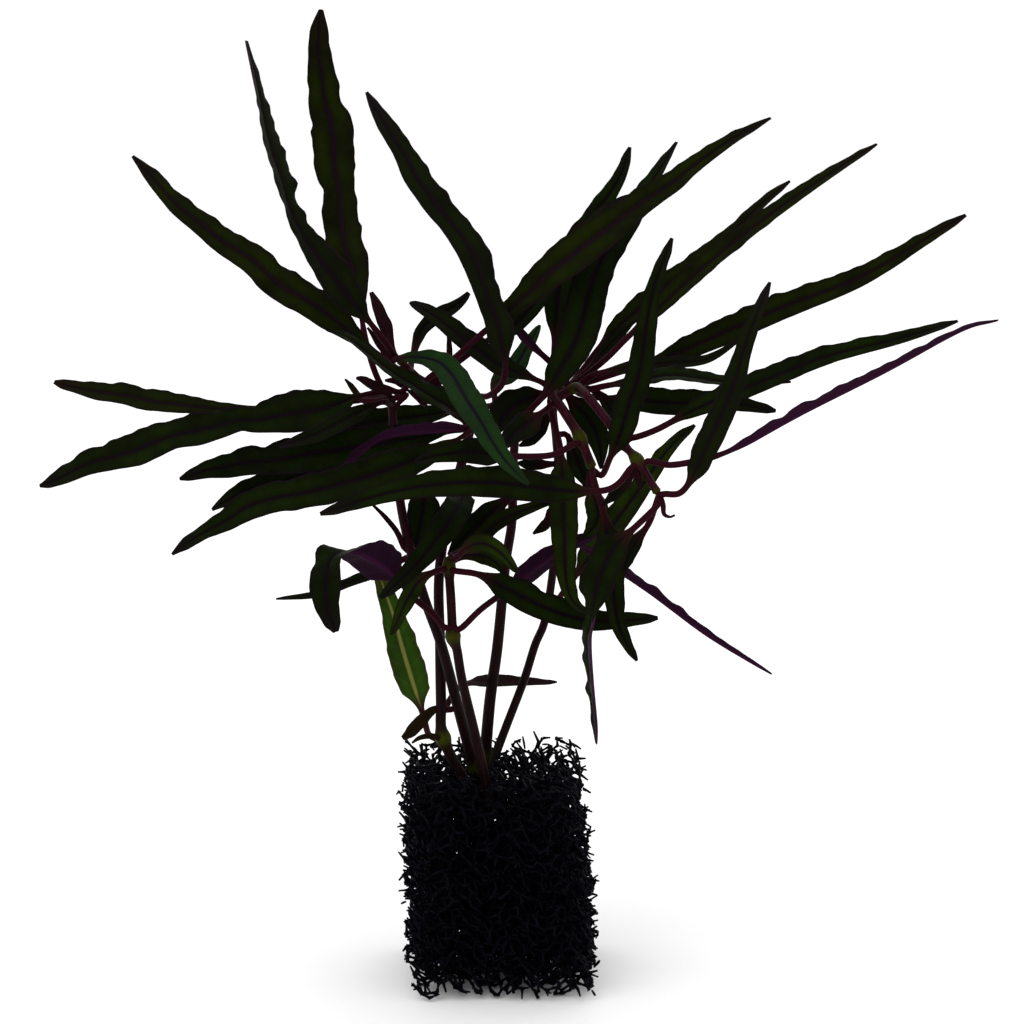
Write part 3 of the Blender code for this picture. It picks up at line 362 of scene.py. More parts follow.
# Leaves of the common outline: width, petiole length, turns in degrees, then the points, from base to tip.
# A turn of 0 shows the upper side to the front, 90 stands it on edge, 180 shows the underside.
leaves = {
    "leaf_top_5": (5, 14, (30,), ((-15.4, 26.6, -1.6), (-10.8, 30, 0), (-6.8, 33, 1.4),
        (-2.8, 35.6, -1.5), (1.6, 38.4, -3.5), (12.6, 52.4, -1), (17.6, 59.4, 1), (24.2, 63.6, 3))),
    "leaf_top_6": (5.8, 7, (15,), ((8.4, 26.4, 6), (8.4, 31, 8), (8.8, 36.8, 10), (10, 47.4, 12),
        (14.6, 56.4, 14), (21.2, 66.4, 16), (23.6, 73, 17))),
    "leaf_top_7": (7.8, 7, (0, 0, 10, 55), ((2, 18.8, -2.4), (4, 20.8, -5), (6.6, 23.6, -7),
        (9.6, 28.4, -7), (13.2, 35.4, -4), (16.8, 48.4, 2), (24, 59.8, 8), (33, 74, 12))),
    "leaf_top_8": (4.6, 3, (10, 10, 20), ((-3.6, 21.6, 8), (-3.4, 25.4, 12), (0.6, 29, 16),
        (2.6, 32.4, 19), (5.6, 37.4, 22))),
    "leaf_top_9": (2.4, 2, (150,), ((8, 29.6, 1.4), (3.2, 34, 1.4), (0.4, 37.4, 2), (-2.4, 40.4, 3.5))),
    "leaf_right_1": (5.4, 6, (0, 0, 10), ((18, 7.4, -14.2), (19.6, 10.8, -19), (21.6, 15.4, -23),
        (23.6, 22.4, -27), (25.6, 28.4, -30), (28, 43.4, -33), (32, 54.8, -32))),
    "leaf_right_2": (5, 6, (25, 30, 30), ((13.8, 28, 6), (17.6, 33, 9), (21.6, 37.4, 12),
        (31.6, 45.8, 18), (43.6, 55.4, 22), (49.6, 61.4, 24), (55.6, 66.2, 25))),
    "leaf_right_3": (5, 13, (35, 40, 40), ((14.6, 27.2, 1), (19.2, 31, -3), (23.6, 35.4, -5),
        (37.6, 48.4, -10), (49.6, 58, -12), (61.6, 66.4, -11), (73, 73.6, -7))),
    "leaf_right_4": (5.8, 10, (20,), ((15.4, 26, 4), (21.6, 28, 4.4), (28.6, 30, 3), (37.6, 33.8, 1),
        (53.6, 40.8, -2), (69.6, 47, -3), (83.6, 55.2, 0), (90.8, 59.4, 3))),
    "leaf_right_5": (3.2, 3, (30,), ((15.2, 26.8, -2), (17.6, 27.8, -4), (25.6, 29.2, -5),
        (31.6, 29.8, -6.2), (39.2, 30.6, -7.4), (46, 34.8, -7.4))),
    "leaf_right_6": (5, 4, (50, 55, 55), ((15.6, 24.6, -2.4), (19.6, 25.4, -5), (25.6, 26.4, -9.5),
        (32.6, 27.4, -14), (43.6, 26, -18), (55.8, 26, -19))),
    "leaf_right_7": (5.8, 4, (20,), ((15, 23.2, 2.4), (25.6, 22.4, 4), (33.6, 21.8, 5), (41.6, 22.2, 6),
        (52.8, 20.2, 5))),
    "leaf_right_8": (5, 8, (20, 30, 30), ((23.4, 14.6, -18), (25.6, 15.2, -19), (29.6, 16.8, -20),
        (37.6, 21, -22), (51.6, 26.8, -25), (63.6, 31.4, -27), (77.6, 34.8, -26), (89.2, 38.2, -23))),
    "leaf_right_9": (5, 6, (10, 10, 20), ((30.6, 3.6, -27), (33.6, 3.8, -30), (36, 6.8, -33),
        (38.6, 12.4, -36), (43.6, 23.4, -39), (47, 34.4, -40), (51.6, 46, -37))),
    "leaf_right_10": (4.4, 14, (110, 112, 110), ((27.4, 10.2, -21.4), (31.6, 9.4, -24), (37.6, 10.4, -26),
        (43.6, 12.4, -27), (57.6, 20, -28), (73.6, 28, -26), (89.6, 36.4, -21), (97.2, 38.4, -18))),
    "leaf_middle_1": (6.4, 10, (20, 15, 15), ((23.8, 8.8, -22.4), (21.2, 5.6, -25), (17.6, 4.2, -28),
        (9.6, 4.4, -31), (-6.4, 6, -36), (-22.4, 4.4, -38), (-38.4, -0.4, -37))),
    "leaf_middle_2": (7.4, 7, (0, 0, 15, 76, 80, 80, 80), ((29.2, 1.6, -26.6), (27.2, -0.6, -28),
        (23.6, -4, -31), (20, -7.6, -33), (17.2, -14, -34), (15.8, -21.6, -33), (15.2, -27.6, -32),
        (16.8, -46.4, -27))),
    "leaf_middle_3": (5, 6, (10, 10, 20), ((16.4, 6.4, -15), (18.2, 0.4, -17), (19.2, -5.6, -19),
        (20, -11.6, -22), (20.4, -17.6, -24), (21.6, -23.6, -26), (25, -29.8, -26))),
    "leaf_middle_4": (5.4, 14, (20,), ((12, 13.4, -12.6), (9.6, 12, -15), (6.6, 11.2, -17),
        (-0.4, 11.2, -20), (-8.4, 12, -23), (-14.4, 11.4, -25.5), (-19.4, 10, -27))),
    "leaf_middle_5": (5.8, 10, (0, 0, 0, 40), ((7.6, 21.4, 0.6), (8.8, 16.4, -2), (9.8, 11.4, -5),
        (10.4, -1.6, -12), (10.6, -9.6, -16), (11.2, -15.4, -19.4), (12.8, -18.6, -22),
        (15.6, -20.4, -24))),
    "leaf_middle_6": (6, 8, (20,), ((8.6, -18, 16), (10.6, -15.6, 20), (17.2, -6.6, 27), (24.6, 3.4, 35),
        (31.6, 13, 42), (36.6, 17.4, 45))),
    "leaf_middle_7": (4.8, 13, (150, 155, 150), ((-10.4, -23.4, -18), (-6.4, -19.6, -17),
        (-2.4, -16.6, -13), (2, -13.2, -10), (9.6, -7.6, -6), (15.6, -5, -5), (18, -3.2, -5))),
    "leaf_middle_8": (4.4, 6, (110,), ((9.6, -5.6, 13), (13.6, -6.6, 6), (18.6, -9.6, 1),
        (27.6, -15.6, -8), (39.6, -24.6, -15), (52, -32.4, -18))),
    "leaf_middle_9": (6, 3, (10,), ((7, 20.6, -3), (5.6, 19.6, -6), (2.6, 17.2, -10), (0, 15.2, -13),
        (-2.4, 12.6, -15))),
    "leaf_low_1": (6.2, 4, (20,), ((-11.2, -11.8, -17.8), (-6.4, -12.6, -20), (-0.4, -15.6, -20),
        (5.6, -18.6, -19.5), (11.6, -20.8, -19), (17.6, -21.8, -18), (29.2, -21.2, -15))),
    "leaf_low_2": (4, 3, (10,), ((-11.4, -9.2, -18.2), (-9, -7.2, -22), (-6, -6.2, -24), (-2.4, -8, -26),
        (1.2, -12.2, -27))),
    "leaf_low_3": (3.6, 3, (10,), ((-10.8, -8.2, -14), (-6.4, -5, -9), (-2.4, -1.6, -7), (3.6, 0.8, -6),
        (8.8, 2.4, -5))),
    "leaf_low_4": (6, 5, (5, 5, 10), ((-11.2, 5.6, 0), (-9.8, 3.6, -8), (-12.4, -1.6, -17),
        (-18.4, -9.6, -24), (-23.4, -14.6, -27), (-26.4, -17.2, -28))),
    "leaf_low_5": (3.6, 3, (0,), ((-13.8, -11.4, -17.4), (-15.6, -12, -20), (-18.4, -13.6, -21),
        (-20.8, -17.2, -21), (-22.8, -21.6, -20), (-24.2, -24.6, -19))),
    "leaf_low_6": (9.6, 12, (170, 170, 165, 135, 60, 5, 0), ((-13.5, -23.1, -18.8), (-15.8, -20.4, -16.8),
        (-19.6, -17.2, -15.5), (-23.4, -12.8, -17), (-27.6, -9.6, -20.5), (-32.4, -7.6, -25),
        (-36.2, -9.2, -29), (-37.2, -13.6, -30.5), (-37, -18.6, -30.5), (-35.2, -24, -29.5))),
    "leaf_low_7": (2.4, 2, (30,), ((-21.6, -9.4, -8.6), (-26.4, -12, -9.6), (-32.4, -14, -11),
        (-38.4, -16.4, -12), (-47.2, -17.4, -11))),
    "leaf_low_8": (7, 10, (10,), ((-15.6, -45.2, -8), (-16.8, -44.2, -5), (-17.6, -41.2, -1),
        (-18.6, -38, 3), (-20.2, -33, 8), (-22, -27, 13), (-23.8, -20.5, 18), (-27.2, -10.8, 24))),
    "leaf_low_9": (2.8, 11, (30, 20, 20), ((-13.2, -39.4, -5.6), (-11.4, -36, -1), (-9.2, -34.4, 4),
        (-4.4, -33.8, 11), (0.6, -33.8, 16), (5.6, -34, 20), (9, -34, 23))),
}

# The large leaves of the left and the top: turns, then points that also hold the blade's width there,
# as seen from in front. A width of 0 is the petiole.
outlinedLeaves = {
    "leaf_upper_left_1": ((15, 15, 20), ((-20.2, 27.4, -4, 0), (-23, 28.7, -5, 0), (-26, 31, -5.6, 0),
        (-29, 33.2, -6, 1.6), (-32, 35.6, -6, 3.6), (-36, 39, -6, 6.2), (-41.3, 42.6, -5.5, 6.6),
        (-46.9, 45.8, -4, 6.6), (-51.8, 50.4, -2, 6), (-57.6, 54, 0, 5.2), (-61.3, 57, 1.5, 4.8),
        (-67.1, 61.6, 4, 4), (-72.3, 67.4, 8, 3), (-75.9, 71.2, 10, 0.6))),
    "leaf_upper_left_2": ((10, 15, 40, 60, 65, 70), ((-24.4, 32.6, -4.4, 0), (-27.4, 36.6, -8, 0),
        (-30, 39.8, -10.5, 2.6), (-32.3, 42.6, -12, 6), (-34.9, 46, -14, 7.2), (-37.4, 49.2, -16, 6.2),
        (-40.5, 53.4, -18, 4.4), (-42.8, 57.4, -19.5, 3.4), (-44.6, 61.4, -20.5, 3),
        (-45.8, 66, -21.5, 3.4), (-47.8, 71.6, -22, 3.4), (-49.2, 76.8, -21.5, 2.7),
        (-50.2, 81.9, -20, 2), (-51.4, 87.5, -18, 1.1), (-53.1, 94.3, -16, 0.4))),
    "leaf_upper_left_3": ((10, 5, 0, 10), ((-25.8, 24.6, 2, 0), (-27.4, 28, 3, 0), (-28.7, 32.1, 5, 0),
        (-29.7, 36.5, 8, 0), (-30.3, 41, 10, 2), (-31.2, 45, 12, 5), (-32, 48.6, 13.5, 7.2),
        (-33.5, 53.7, 16, 7.6), (-34.3, 58.8, 19, 7.4), (-34.6, 64.5, 21, 6.4), (-35.4, 68.6, 22, 8.3),
        (-36, 76.8, 23, 8.6), (-37.4, 81.9, 23, 6.6), (-38, 87, 22.5, 6), (-38.6, 92.1, 21.5, 4.6),
        (-38.6, 96.8, 20, 3.7), (-38.2, 100.5, 19, 1))),
    "leaf_upper_left_4": ((50, 55, 60), ((-8.6, 17, -10, 0), (-10.4, 19.2, -11, 2.4),
        (-13, 21.4, -11.6, 3.6), (-16.4, 23.4, -12, 3.8), (-20.2, 25.8, -12.6, 3.2),
        (-25, 28.8, -13, 2.4), (-29, 32, -13, 1.9), (-33, 35, -12, 1.4), (-37, 36.4, -10, 0.5))),
    "leaf_upper_left_5": ((0, 5, 10), ((-23.4, 30.6, -4.2, 0.8), (-21.2, 30.9, -7, 1.9),
        (-18.4, 30.9, -10, 2.7), (-14.6, 30, -15, 4.4), (-11.8, 27.2, -20, 5.4), (-10.2, 24.4, -24, 5.5),
        (-8.5, 21.6, -28, 5.6), (-6.4, 18.4, -32, 5), (-4, 14.2, -36, 4.2), (-1.4, 10.4, -39, 3.2),
        (1.2, 7.6, -41, 2), (3.4, 5.4, -42, 0.6))),
    "leaf_left_1": ((30,), ((-26.6, 22.8, 4, 0), (-33.4, 22, 6, 0), (-42.4, 21, 9, 0), (-50, 20.6, 11, 1),
        (-56, 20.6, 13, 2), (-60, 20.8, 14, 2.8), (-63, 21.1, 15, 3.4), (-66, 21.5, 16, 4),
        (-70, 21.9, 17, 4.3), (-74, 22.6, 18, 4.8), (-78, 23.5, 19, 4.1), (-82.5, 24, 20, 3.9),
        (-87, 24.9, 22, 2.6), (-89.8, 25.5, 22.6, 2.2), (-91.6, 26, 23, 0.8))),
    "leaf_left_2": ((25, 20, 20), ((-25.6, 24, -1.6, 0), (-28.6, 23.6, -4, 0), (-31.4, 23, -6, 1.4),
        (-34.6, 21.8, -8, 4.6), (-38, 20.7, -9.5, 7.4), (-42, 20, -10.5, 8.4), (-46, 19.4, -11.5, 7.8),
        (-51, 18.4, -13, 5.4), (-54.5, 18.4, -14, 4.6), (-58.5, 17.4, -15, 5.6), (-63, 16.3, -15.5, 6.3),
        (-67.5, 15.4, -16, 5.6), (-71, 14.2, -16, 6.4), (-75, 12.5, -16, 6.7), (-79.5, 11.2, -15.5, 5.6),
        (-84.5, 9.8, -14.5, 4.8), (-89, 7.6, -14, 3.6), (-92.6, 5.8, -13.3, 2.2), (-94.5, 5.2, -13, 0.6))),
    "leaf_left_3": ((20,), ((-10.4, 16.4, -2, 0), (-13.6, 16, -4, 1.4), (-18, 15.2, -6, 4),
        (-24, 14.2, -8, 6), (-30, 13.2, -9, 7), (-35.5, 12.4, -10, 7.6), (-40, 11.8, -10.5, 7.8),
        (-45, 10.8, -11, 6.8), (-49, 10.3, -11, 5.8), (-53, 10, -11, 5.6), (-57, 9.1, -10.5, 4.8),
        (-61, 8.4, -10, 3.5), (-64.6, 7.2, -9.4, 2.1), (-66.5, 6.6, -9, 0.6))),
    "leaf_left_4": ((30,), ((-25.6, 10.6, 0, 0), (-28.6, 9.8, -1, 1), (-32.4, 8.8, -2, 2.8),
        (-38, 7.6, -3, 4.2), (-44, 6.4, -4, 4.6), (-49.5, 5.4, -5, 4.6), (-54, 3.9, -6, 3.8),
        (-57.4, 2.1, -6, 2.4), (-60, 0.4, -6, 0.6))),
    "leaf_left_5": ((15, 10, 15), ((-8.4, 16.2, -14, 0), (-11, 14.4, -16, 0.9), (-14, 12.8, -17.5, 2.8),
        (-18, 11, -19, 5), (-23, 9.2, -21, 6.6), (-28, 7.4, -22.5, 7), (-33, 6, -23.5, 6.8),
        (-38, 4.6, -24, 6.4), (-43, 3.6, -25, 6.2), (-48, 2.7, -25, 5.8), (-53, 1, -25, 5.6),
        (-57, -1.6, -24.5, 4.2), (-61.5, -4, -23.5, 2.9), (-65.5, -6.6, -22.5, 2.2),
        (-68, -8.5, -22, 0.6))),
    "leaf_left_6": ((120, 115, 110), ((-8, 17.4, -13, 0), (-9.6, 16.9, -13.6, 1.2),
        (-12.4, 16.8, -15, 1.9), (-16, 16.5, -16, 2.2), (-20, 16.2, -16.8, 2.1), (-24, 15.6, -17, 1.4),
        (-27.4, 14.4, -17, 1.1), (-30.4, 12, -17, 1.3), (-33.4, 9.6, -16, 0.4))),
    "leaf_left_7": ((10,), ((-25.6, 22, -5, 0), (-28, 21.2, -8, 1.6), (-31.2, 19.6, -12, 3.2),
        (-35, 17.6, -14.5, 3.6), (-39, 15.6, -16, 3.2), (-43, 14.2, -17, 2.2), (-46.6, 13, -18, 0.6))),
    "leaf_left_8": ((20,), ((-9.6, 21, 7, 0), (-12.6, 20.2, 8.5, 2), (-17, 19.4, 10, 4),
        (-23, 18.6, 11.4, 5.2), (-29, 17.6, 12.4, 5.4), (-35, 16.4, 13.2, 4.4), (-39.5, 15.2, 13.8, 2.6),
        (-42.6, 14.2, 14, 0.6))),
    "leaf_top_1": ((10, 15, 20), ((-6, 23.1, -2, 0), (-4.4, 23.4, -5, 0), (-2.2, 25.2, -8, 0),
        (-1.4, 28, -11, 0), (-1.4, 30.4, -12, 1.4), (-1.8, 32.4, -12.6, 3.6), (-2.3, 35, -13, 5.2),
        (-3, 38.5, -13, 5.4), (-4.4, 42, -12.8, 4.8), (-5.9, 46, -12.4, 4.9), (-7, 50, -12, 6.1),
        (-9.2, 54, -11.4, 5.7), (-12.2, 58, -10.4, 5.1), (-15.6, 62.2, -9.4, 5.4), (-19.2, 67.2, -8, 5.2),
        (-22, 72.4, -6, 4.1), (-25.4, 77.6, -4, 3.5), (-27.8, 81.6, -2.6, 2), (-29.1, 84, -2, 0.6))),
    "leaf_top_2": ((30,), ((6.4, 25.7, -1.6, 0), (4.4, 26.6, -2.2, 1.2), (1.6, 27.8, -2.8, 2.8),
        (-2.4, 29.4, -3, 4.4), (-6.4, 32.2, -3.4, 4.4), (-10.6, 35.4, -3, 4.2), (-14.2, 38.4, -2, 3.6),
        (-17.4, 40.4, -1, 2.6), (-19.6, 41.5, -0.2, 1.6), (-20.5, 41.9, 0, 0.5))),
    "leaf_top_3": ((20, 10, 20), ((-20, 30.9, 3, 0.8), (-19.6, 32, 4, 1.6), (-19, 34, 5.5, 2.2),
        (-18, 36.4, 7, 2.6), (-16, 38.4, 8, 3), (-13.4, 40, 9, 3), (-11, 41.4, 9, 2.4),
        (-9.4, 42.8, 8.4, 1.6), (-8.6, 43.8, 8, 0.9))),
    "leaf_top_4": ((10, 10, 20, 30), ((-16.6, 26.8, -4.4, 0), (-11.4, 30.9, -6, 0), (-8.5, 33.4, -7, 0),
        (-5.4, 36.2, -8, 0), (-2.6, 38.6, -8.6, 1.6), (-0.5, 40.6, -9, 3.4), (4.2, 44.6, -9, 5.6),
        (6.7, 47.2, -9, 6.2), (11, 50.6, -9, 7.4), (16, 54.4, -8.5, 7.4), (20.1, 57.5, -8, 6.6),
        (24.9, 61.2, -7, 5.4), (28.8, 63.8, -6, 4.6), (32.5, 66.2, -5, 4.2), (35.3, 68.6, -4, 3.6),
        (39.3, 71.5, -2.5, 3), (43.8, 74.5, 0, 2.4), (48.2, 76.9, 2, 1.6), (51.8, 78.8, 3.5, 0.5))),
}


# Leaves
leafShape = {
    "ring": 24,           # points round a blade's section
    "crowding": 1.4,      # how far they gather at the midrib
    "step": 0.85,         # mm between sections along the leaf
    "leastSections": 14,
    "thickness": 0.40,    # mm, and baseShare times that at the base
    "baseShare": 1.15,
    "thinnest": 0.14,     # mm, at the tip
    "fold": 0.16,         # how far the halves rise from the midrib, as a share of the half-width
    "midrib": 0.30,       # mm, the groove above
    "rib": 0.9,           # the rib below, as a share of the groove
    "midribWidth": 0.12,  # share of the half-width
    "quilting": 0.16,     # mm, how far the blade bulges between side veins
    "ruffle": 0.42,       # mm, waves of the rim
    "waveLength": 7.3,    # mm
    "wander": 6.1,        # mm, over which the waves come early and late
    "swell": (0.6, 0.5),  # their mean height and how far it changes, as shares
    "swellLength": 4.7,   # mm
    "notch": 0.35,        # height of the small waves between them, as a share
    "notchLength": 3.4,   # mm
    "otherRim": 2.1,      # radians by which the waves of the two rims differ
    "teeth": 0.055,       # share of the half-width
    # mm, the half-widths from which these have their full height
    "full": {"ruffle": 3.0, "wave": 2.4, "quilting": 2.5, "midrib": 1.5},
    "leastFacing": 0.35,  # the least share of a blade's width that the front view shows
    "least": 0.22,        # mm, the least half-width
    "opening": 5.0,       # mm over which the stalk opens into the blade
    "stalk": 0.63,        # mm, the petiole's radius
    "reach": (0.2, 7.0),  # mm, the least and the most that a stalk runs on to meet its stem
}
leafKinds = {
    "fresh": ("leaf_upper_left_5", "leaf_top_8"), "pale": ("leaf_low_8",),
    # leaves with painted backlight
    "olive_painted_backlight": ("leaf_upper_left_1", "leaf_upper_left_3", "leaf_left_1", "leaf_top_4", "leaf_right_2",
              "leaf_right_3", "leaf_right_4", "leaf_low_3"),
    "lime": ("leaf_middle_5", "leaf_middle_6", "leaf_low_2", "leaf_low_5"),
    # leaves with the painted sheen of reflected sky
    "dusky_painted_sheen": ("leaf_upper_left_2", "leaf_top_1", "leaf_top_2", "leaf_top_3", "leaf_right_5", "leaf_left_7",
              "leaf_low_7", "leaf_right_9", "leaf_middle_9"),
    "plum": ("leaf_low_9", "leaf_right_10", "leaf_middle_8", "leaf_left_6"),
}
kindOf = {name: kind for kind, names in leafKinds.items() for name in names}


# Places along every stem's middle line
spotsPerStem = 60
stemSpots = [(stem, spot) for stem, values in stems.items()
             for spot in smoothPath([placed(p) for p in values[2]], spotsPerStem)[0]]


def rootOf(place, own=""):
    # the nearest place inside another stem, where a stalk or shoot grows out
    return min((spot for stem, spot in stemSpots if stem != own), key=lambda spot: (spot - place).length)


def leafForm(name):
    if name in outlinedLeaves:
        turns, points = outlinedLeaves[name]
        seen = [p[3] for p in points]
        points = [placed(p[:3]) for p in points]
        length = smoothPath(points, 2)[1]
        run = [0.0]
        for a, b in zip(points, points[1:]):
            run.append(run[-1] + (b - a).length)
        halves = [(r / run[-1], s / 2) for r, s in zip(run, seen)]
        neck = max([place for place, half in halves if half == 0], default=-1.0)
    else:
        width, petiole, turns, points = leaves[name]
        points = [placed(p) for p in points]
        length = smoothPath(points, 2)[1]
        neck = petiole / length
        halves = [(0.0, 0.0)] + [(neck + (1 - neck) * p, width / 2 * share) for p, share in bladeOutline]
    turns = [(i / max(1, len(turns) - 1), math.radians(turn)) for i, turn in enumerate(turns)]
    # the stalk runs on into its stem, and every place along the leaf moves by that much
    root = rootOf(points[0])
    extra = (points[0] - root).length
    if leafShape["reach"][0] < extra < leafShape["reach"][1]:
        points = [root] + points
        ahead = extra / (length + extra)
        turns = [(ahead + (1 - ahead) * place, turn) for place, turn in turns]
        turns = [(0.0, turns[0][1])] + turns
        halves = [(0.0, 0.0)] + [(ahead + (1 - ahead) * place, half) for place, half in halves]
        neck = max(neck, 0.0) * (1 - ahead) + ahead
        length += extra
    return points, turns, halves, neck, length


def rimWave(run, phase):
    # waves that swell and wander along the rim, with smaller ones between them
    mean, change = leafShape["swell"]
    swell = mean + change * math.sin(run / leafShape["swellLength"] + phase * 3)
    wandered = phase + math.sin(run / leafShape["wander"] + phase)
    wave = swell * math.sin(2 * math.pi * run / leafShape["waveLength"] + wandered)
    return wave + leafShape["notch"] * math.sin(2 * math.pi * run / leafShape["notchLength"] + phase * 2)


def bladeSection(half, thick, run, wave):
    # points round one section, from rim to rim above and back below: across, height, share of the
    # half-width, and 1 on the upper side
    section = []
    full = leafShape["full"]
    for k in range(leafShape["ring"]):
        angle = 2 * math.pi * k / leafShape["ring"]
        raw = math.cos(angle)
        share = math.copysign(abs(raw) ** leafShape["crowding"], raw)
        rim = abs(share)
        edge = rimWave(run, wave + (0.0 if share > 0 else leafShape["otherRim"]))
        x = half * share * (1 + leafShape["teeth"] * edge * rim * rim)
        ruffle = leafShape["ruffle"] * min(1.0, half / full["ruffle"]) * min(1.0, half / full["wave"])
        y = half * rim * leafShape["fold"] + ruffle * edge * rim ** 3
        vein = math.cos(2 * math.pi * (run - leafFinish["veinSlant"] * rim) / leafFinish["veinSpacing"])
        quilting = leafShape["quilting"] * min(1.0, half / full["quilting"])
        y += quilting * (0.5 - max(0.0, vein) ** 4) * rim * (1 - rim) * 4
        groove = math.exp(-(share / leafShape["midribWidth"]) ** 2) * leafShape["midrib"]
        groove *= min(1.0, half / full["midrib"])
        y -= groove
        if math.sin(angle) < 0:
            y -= thick * (1 - rim ** 6) + groove * leafShape["rib"]
        section.append((x, y, rim, 1.0 if math.sin(angle) > 0.01 else 0.0))
    return section


def leafMesh(name):
    points, turns, halves, neck, length = leafForm(name)
    stations = max(leafShape["leastSections"], int(length / leafShape["step"]))
    path = smoothPath(points, stations + 1)[0]
    sideSign = 1.0 if path[-1].x < path[0].x else -1.0
    wave = random.Random(name + "rim").uniform(0.0, 2 * math.pi)
    rings = []
    for i, (centre, along) in enumerate(zip(path, directionsOf(path))):
        s = i / stations
        toward = (eye - centre).normalized()
        facing = (toward - along * toward.dot(along)).normalized()
        turn = smoothOff(turns, s)
        upper = facing * math.cos(turn) + along.cross(facing) * sideSign * math.sin(turn)
        across = along.cross(upper)
        half = readOff(halves, s)
        if name in outlinedLeaves:
            half /= max(abs(math.cos(turn)), leafShape["leastFacing"])
        opened = min(1.0, max(0.0, (s - neck) * length / leafShape["opening"]))
        thick = max(leafShape["thickness"] * (leafShape["baseShare"] - s), leafShape["thinnest"])
        section = bladeSection(max(half, leafShape["least"]), thick, s * length, wave)
        ring = []
        for k, (x, y, rim, top) in enumerate(section):
            angle = 2 * math.pi * k / leafShape["ring"]
            stalkX, stalkY = leafShape["stalk"] * math.cos(angle), leafShape["stalk"] * math.sin(angle)
            x = stalkX + (x - stalkX) * opened
            y = stalkY + (y - stalkY) * opened
            ring.append((centre + across * x + upper * y, (rim, top, s * length, 1.0 - opened, s)))
        rings.append(ring)
    bm = bmesh.new()
    layers = [bm.verts.layers.float.new(key) for key in leafAttributes]

    def settle(vert, i, k):
        place, values = rings[i][k]
        vert.co = place * mm
        for layer, value in zip(layers, values):
            vert[layer] = value

    tubeOf(bm, stations, leafShape["ring"], settle)
    return bm


leafSkins = {kind: leafMaterial(kind) for kind in ("deep", *leafKinds)}
for name in list(outlinedLeaves) + list(leaves):
    skin = leafSkins[kindOf.get(name, "deep")]
    finishPiece(name.replace("leaf_", "blade_"), leafMesh(name), skin, [name])
print("leaves done")


# Stems
stemShape = {
    "sides": 16,
    "step": 0.8,          # mm between sections
    "swelling": 2.6,      # mm, how far a joint's swelling reaches along the stem
    "tinted": 1.6,        # how closely the joint's colour keeps to it
    "ridge": 0.05,        # height of the four ridges, as a share of the radius
    "crown": 1.25,        # how much thicker a stem ends than its radius there
    "blunt": 0.03,        # how flat its rounded end is
}


def stemMesh(name):
    foot, top, points = stems[name]
    points = [placed(p) for p in points]
    swellings = [(points[k], radius) for stem, k, radius in joints if stem == name]
    swellings.append((points[-1], top * stemShape["crown"]))
    if name not in rooted:
        swellings.append((points[0], foot * stemShape["crown"]))
        points = [rootOf(points[0], name)] + points
    length = smoothPath(points, 2)[1]
    stations = int(length / stemShape["step"])
    path = smoothPath(points, stations + 1)[0]
    headings = directionsOf(path)
    bm = bmesh.new()
    joint = bm.verts.layers.float.new("joint")

    def settle(vert, i, k):
        centre, along = path[i], headings[i]
        side = along.cross(towardEye).normalized()
        other = along.cross(side)
        radius = foot + (top - foot) * i / stations
        near = 0.0
        for place, swollen in swellings:
            nearness = max(0.0, 1.0 - (centre - place).length / stemShape["swelling"])
            nearness = nearness * nearness * (3 - 2 * nearness)
            radius = max(radius, radius + (swollen - radius) * nearness)
            near = max(near, nearness)
        endGap = min(1.0, (stations - i) * length / stations / radius)
        radius *= math.sqrt(max(stemShape["blunt"], 1 - (1 - endGap) ** 2))
        angle = 2 * math.pi * k / stemShape["sides"]
        radius *= 1 + stemShape["ridge"] * math.cos(4 * angle)
        vert.co = (centre + side * (radius * math.cos(angle)) + other * (radius * math.sin(angle))) * mm
        vert[joint] = near ** stemShape["tinted"]

    tubeOf(bm, stations, stemShape["sides"], settle)
    return bm


stemSkin = stemMaterial()
for name in stems:
    finishPiece(name.replace("stem_", "stalk_").replace("shoot_", "sprig_"), stemMesh(name), stemSkin,
                [name])
print("stems done")


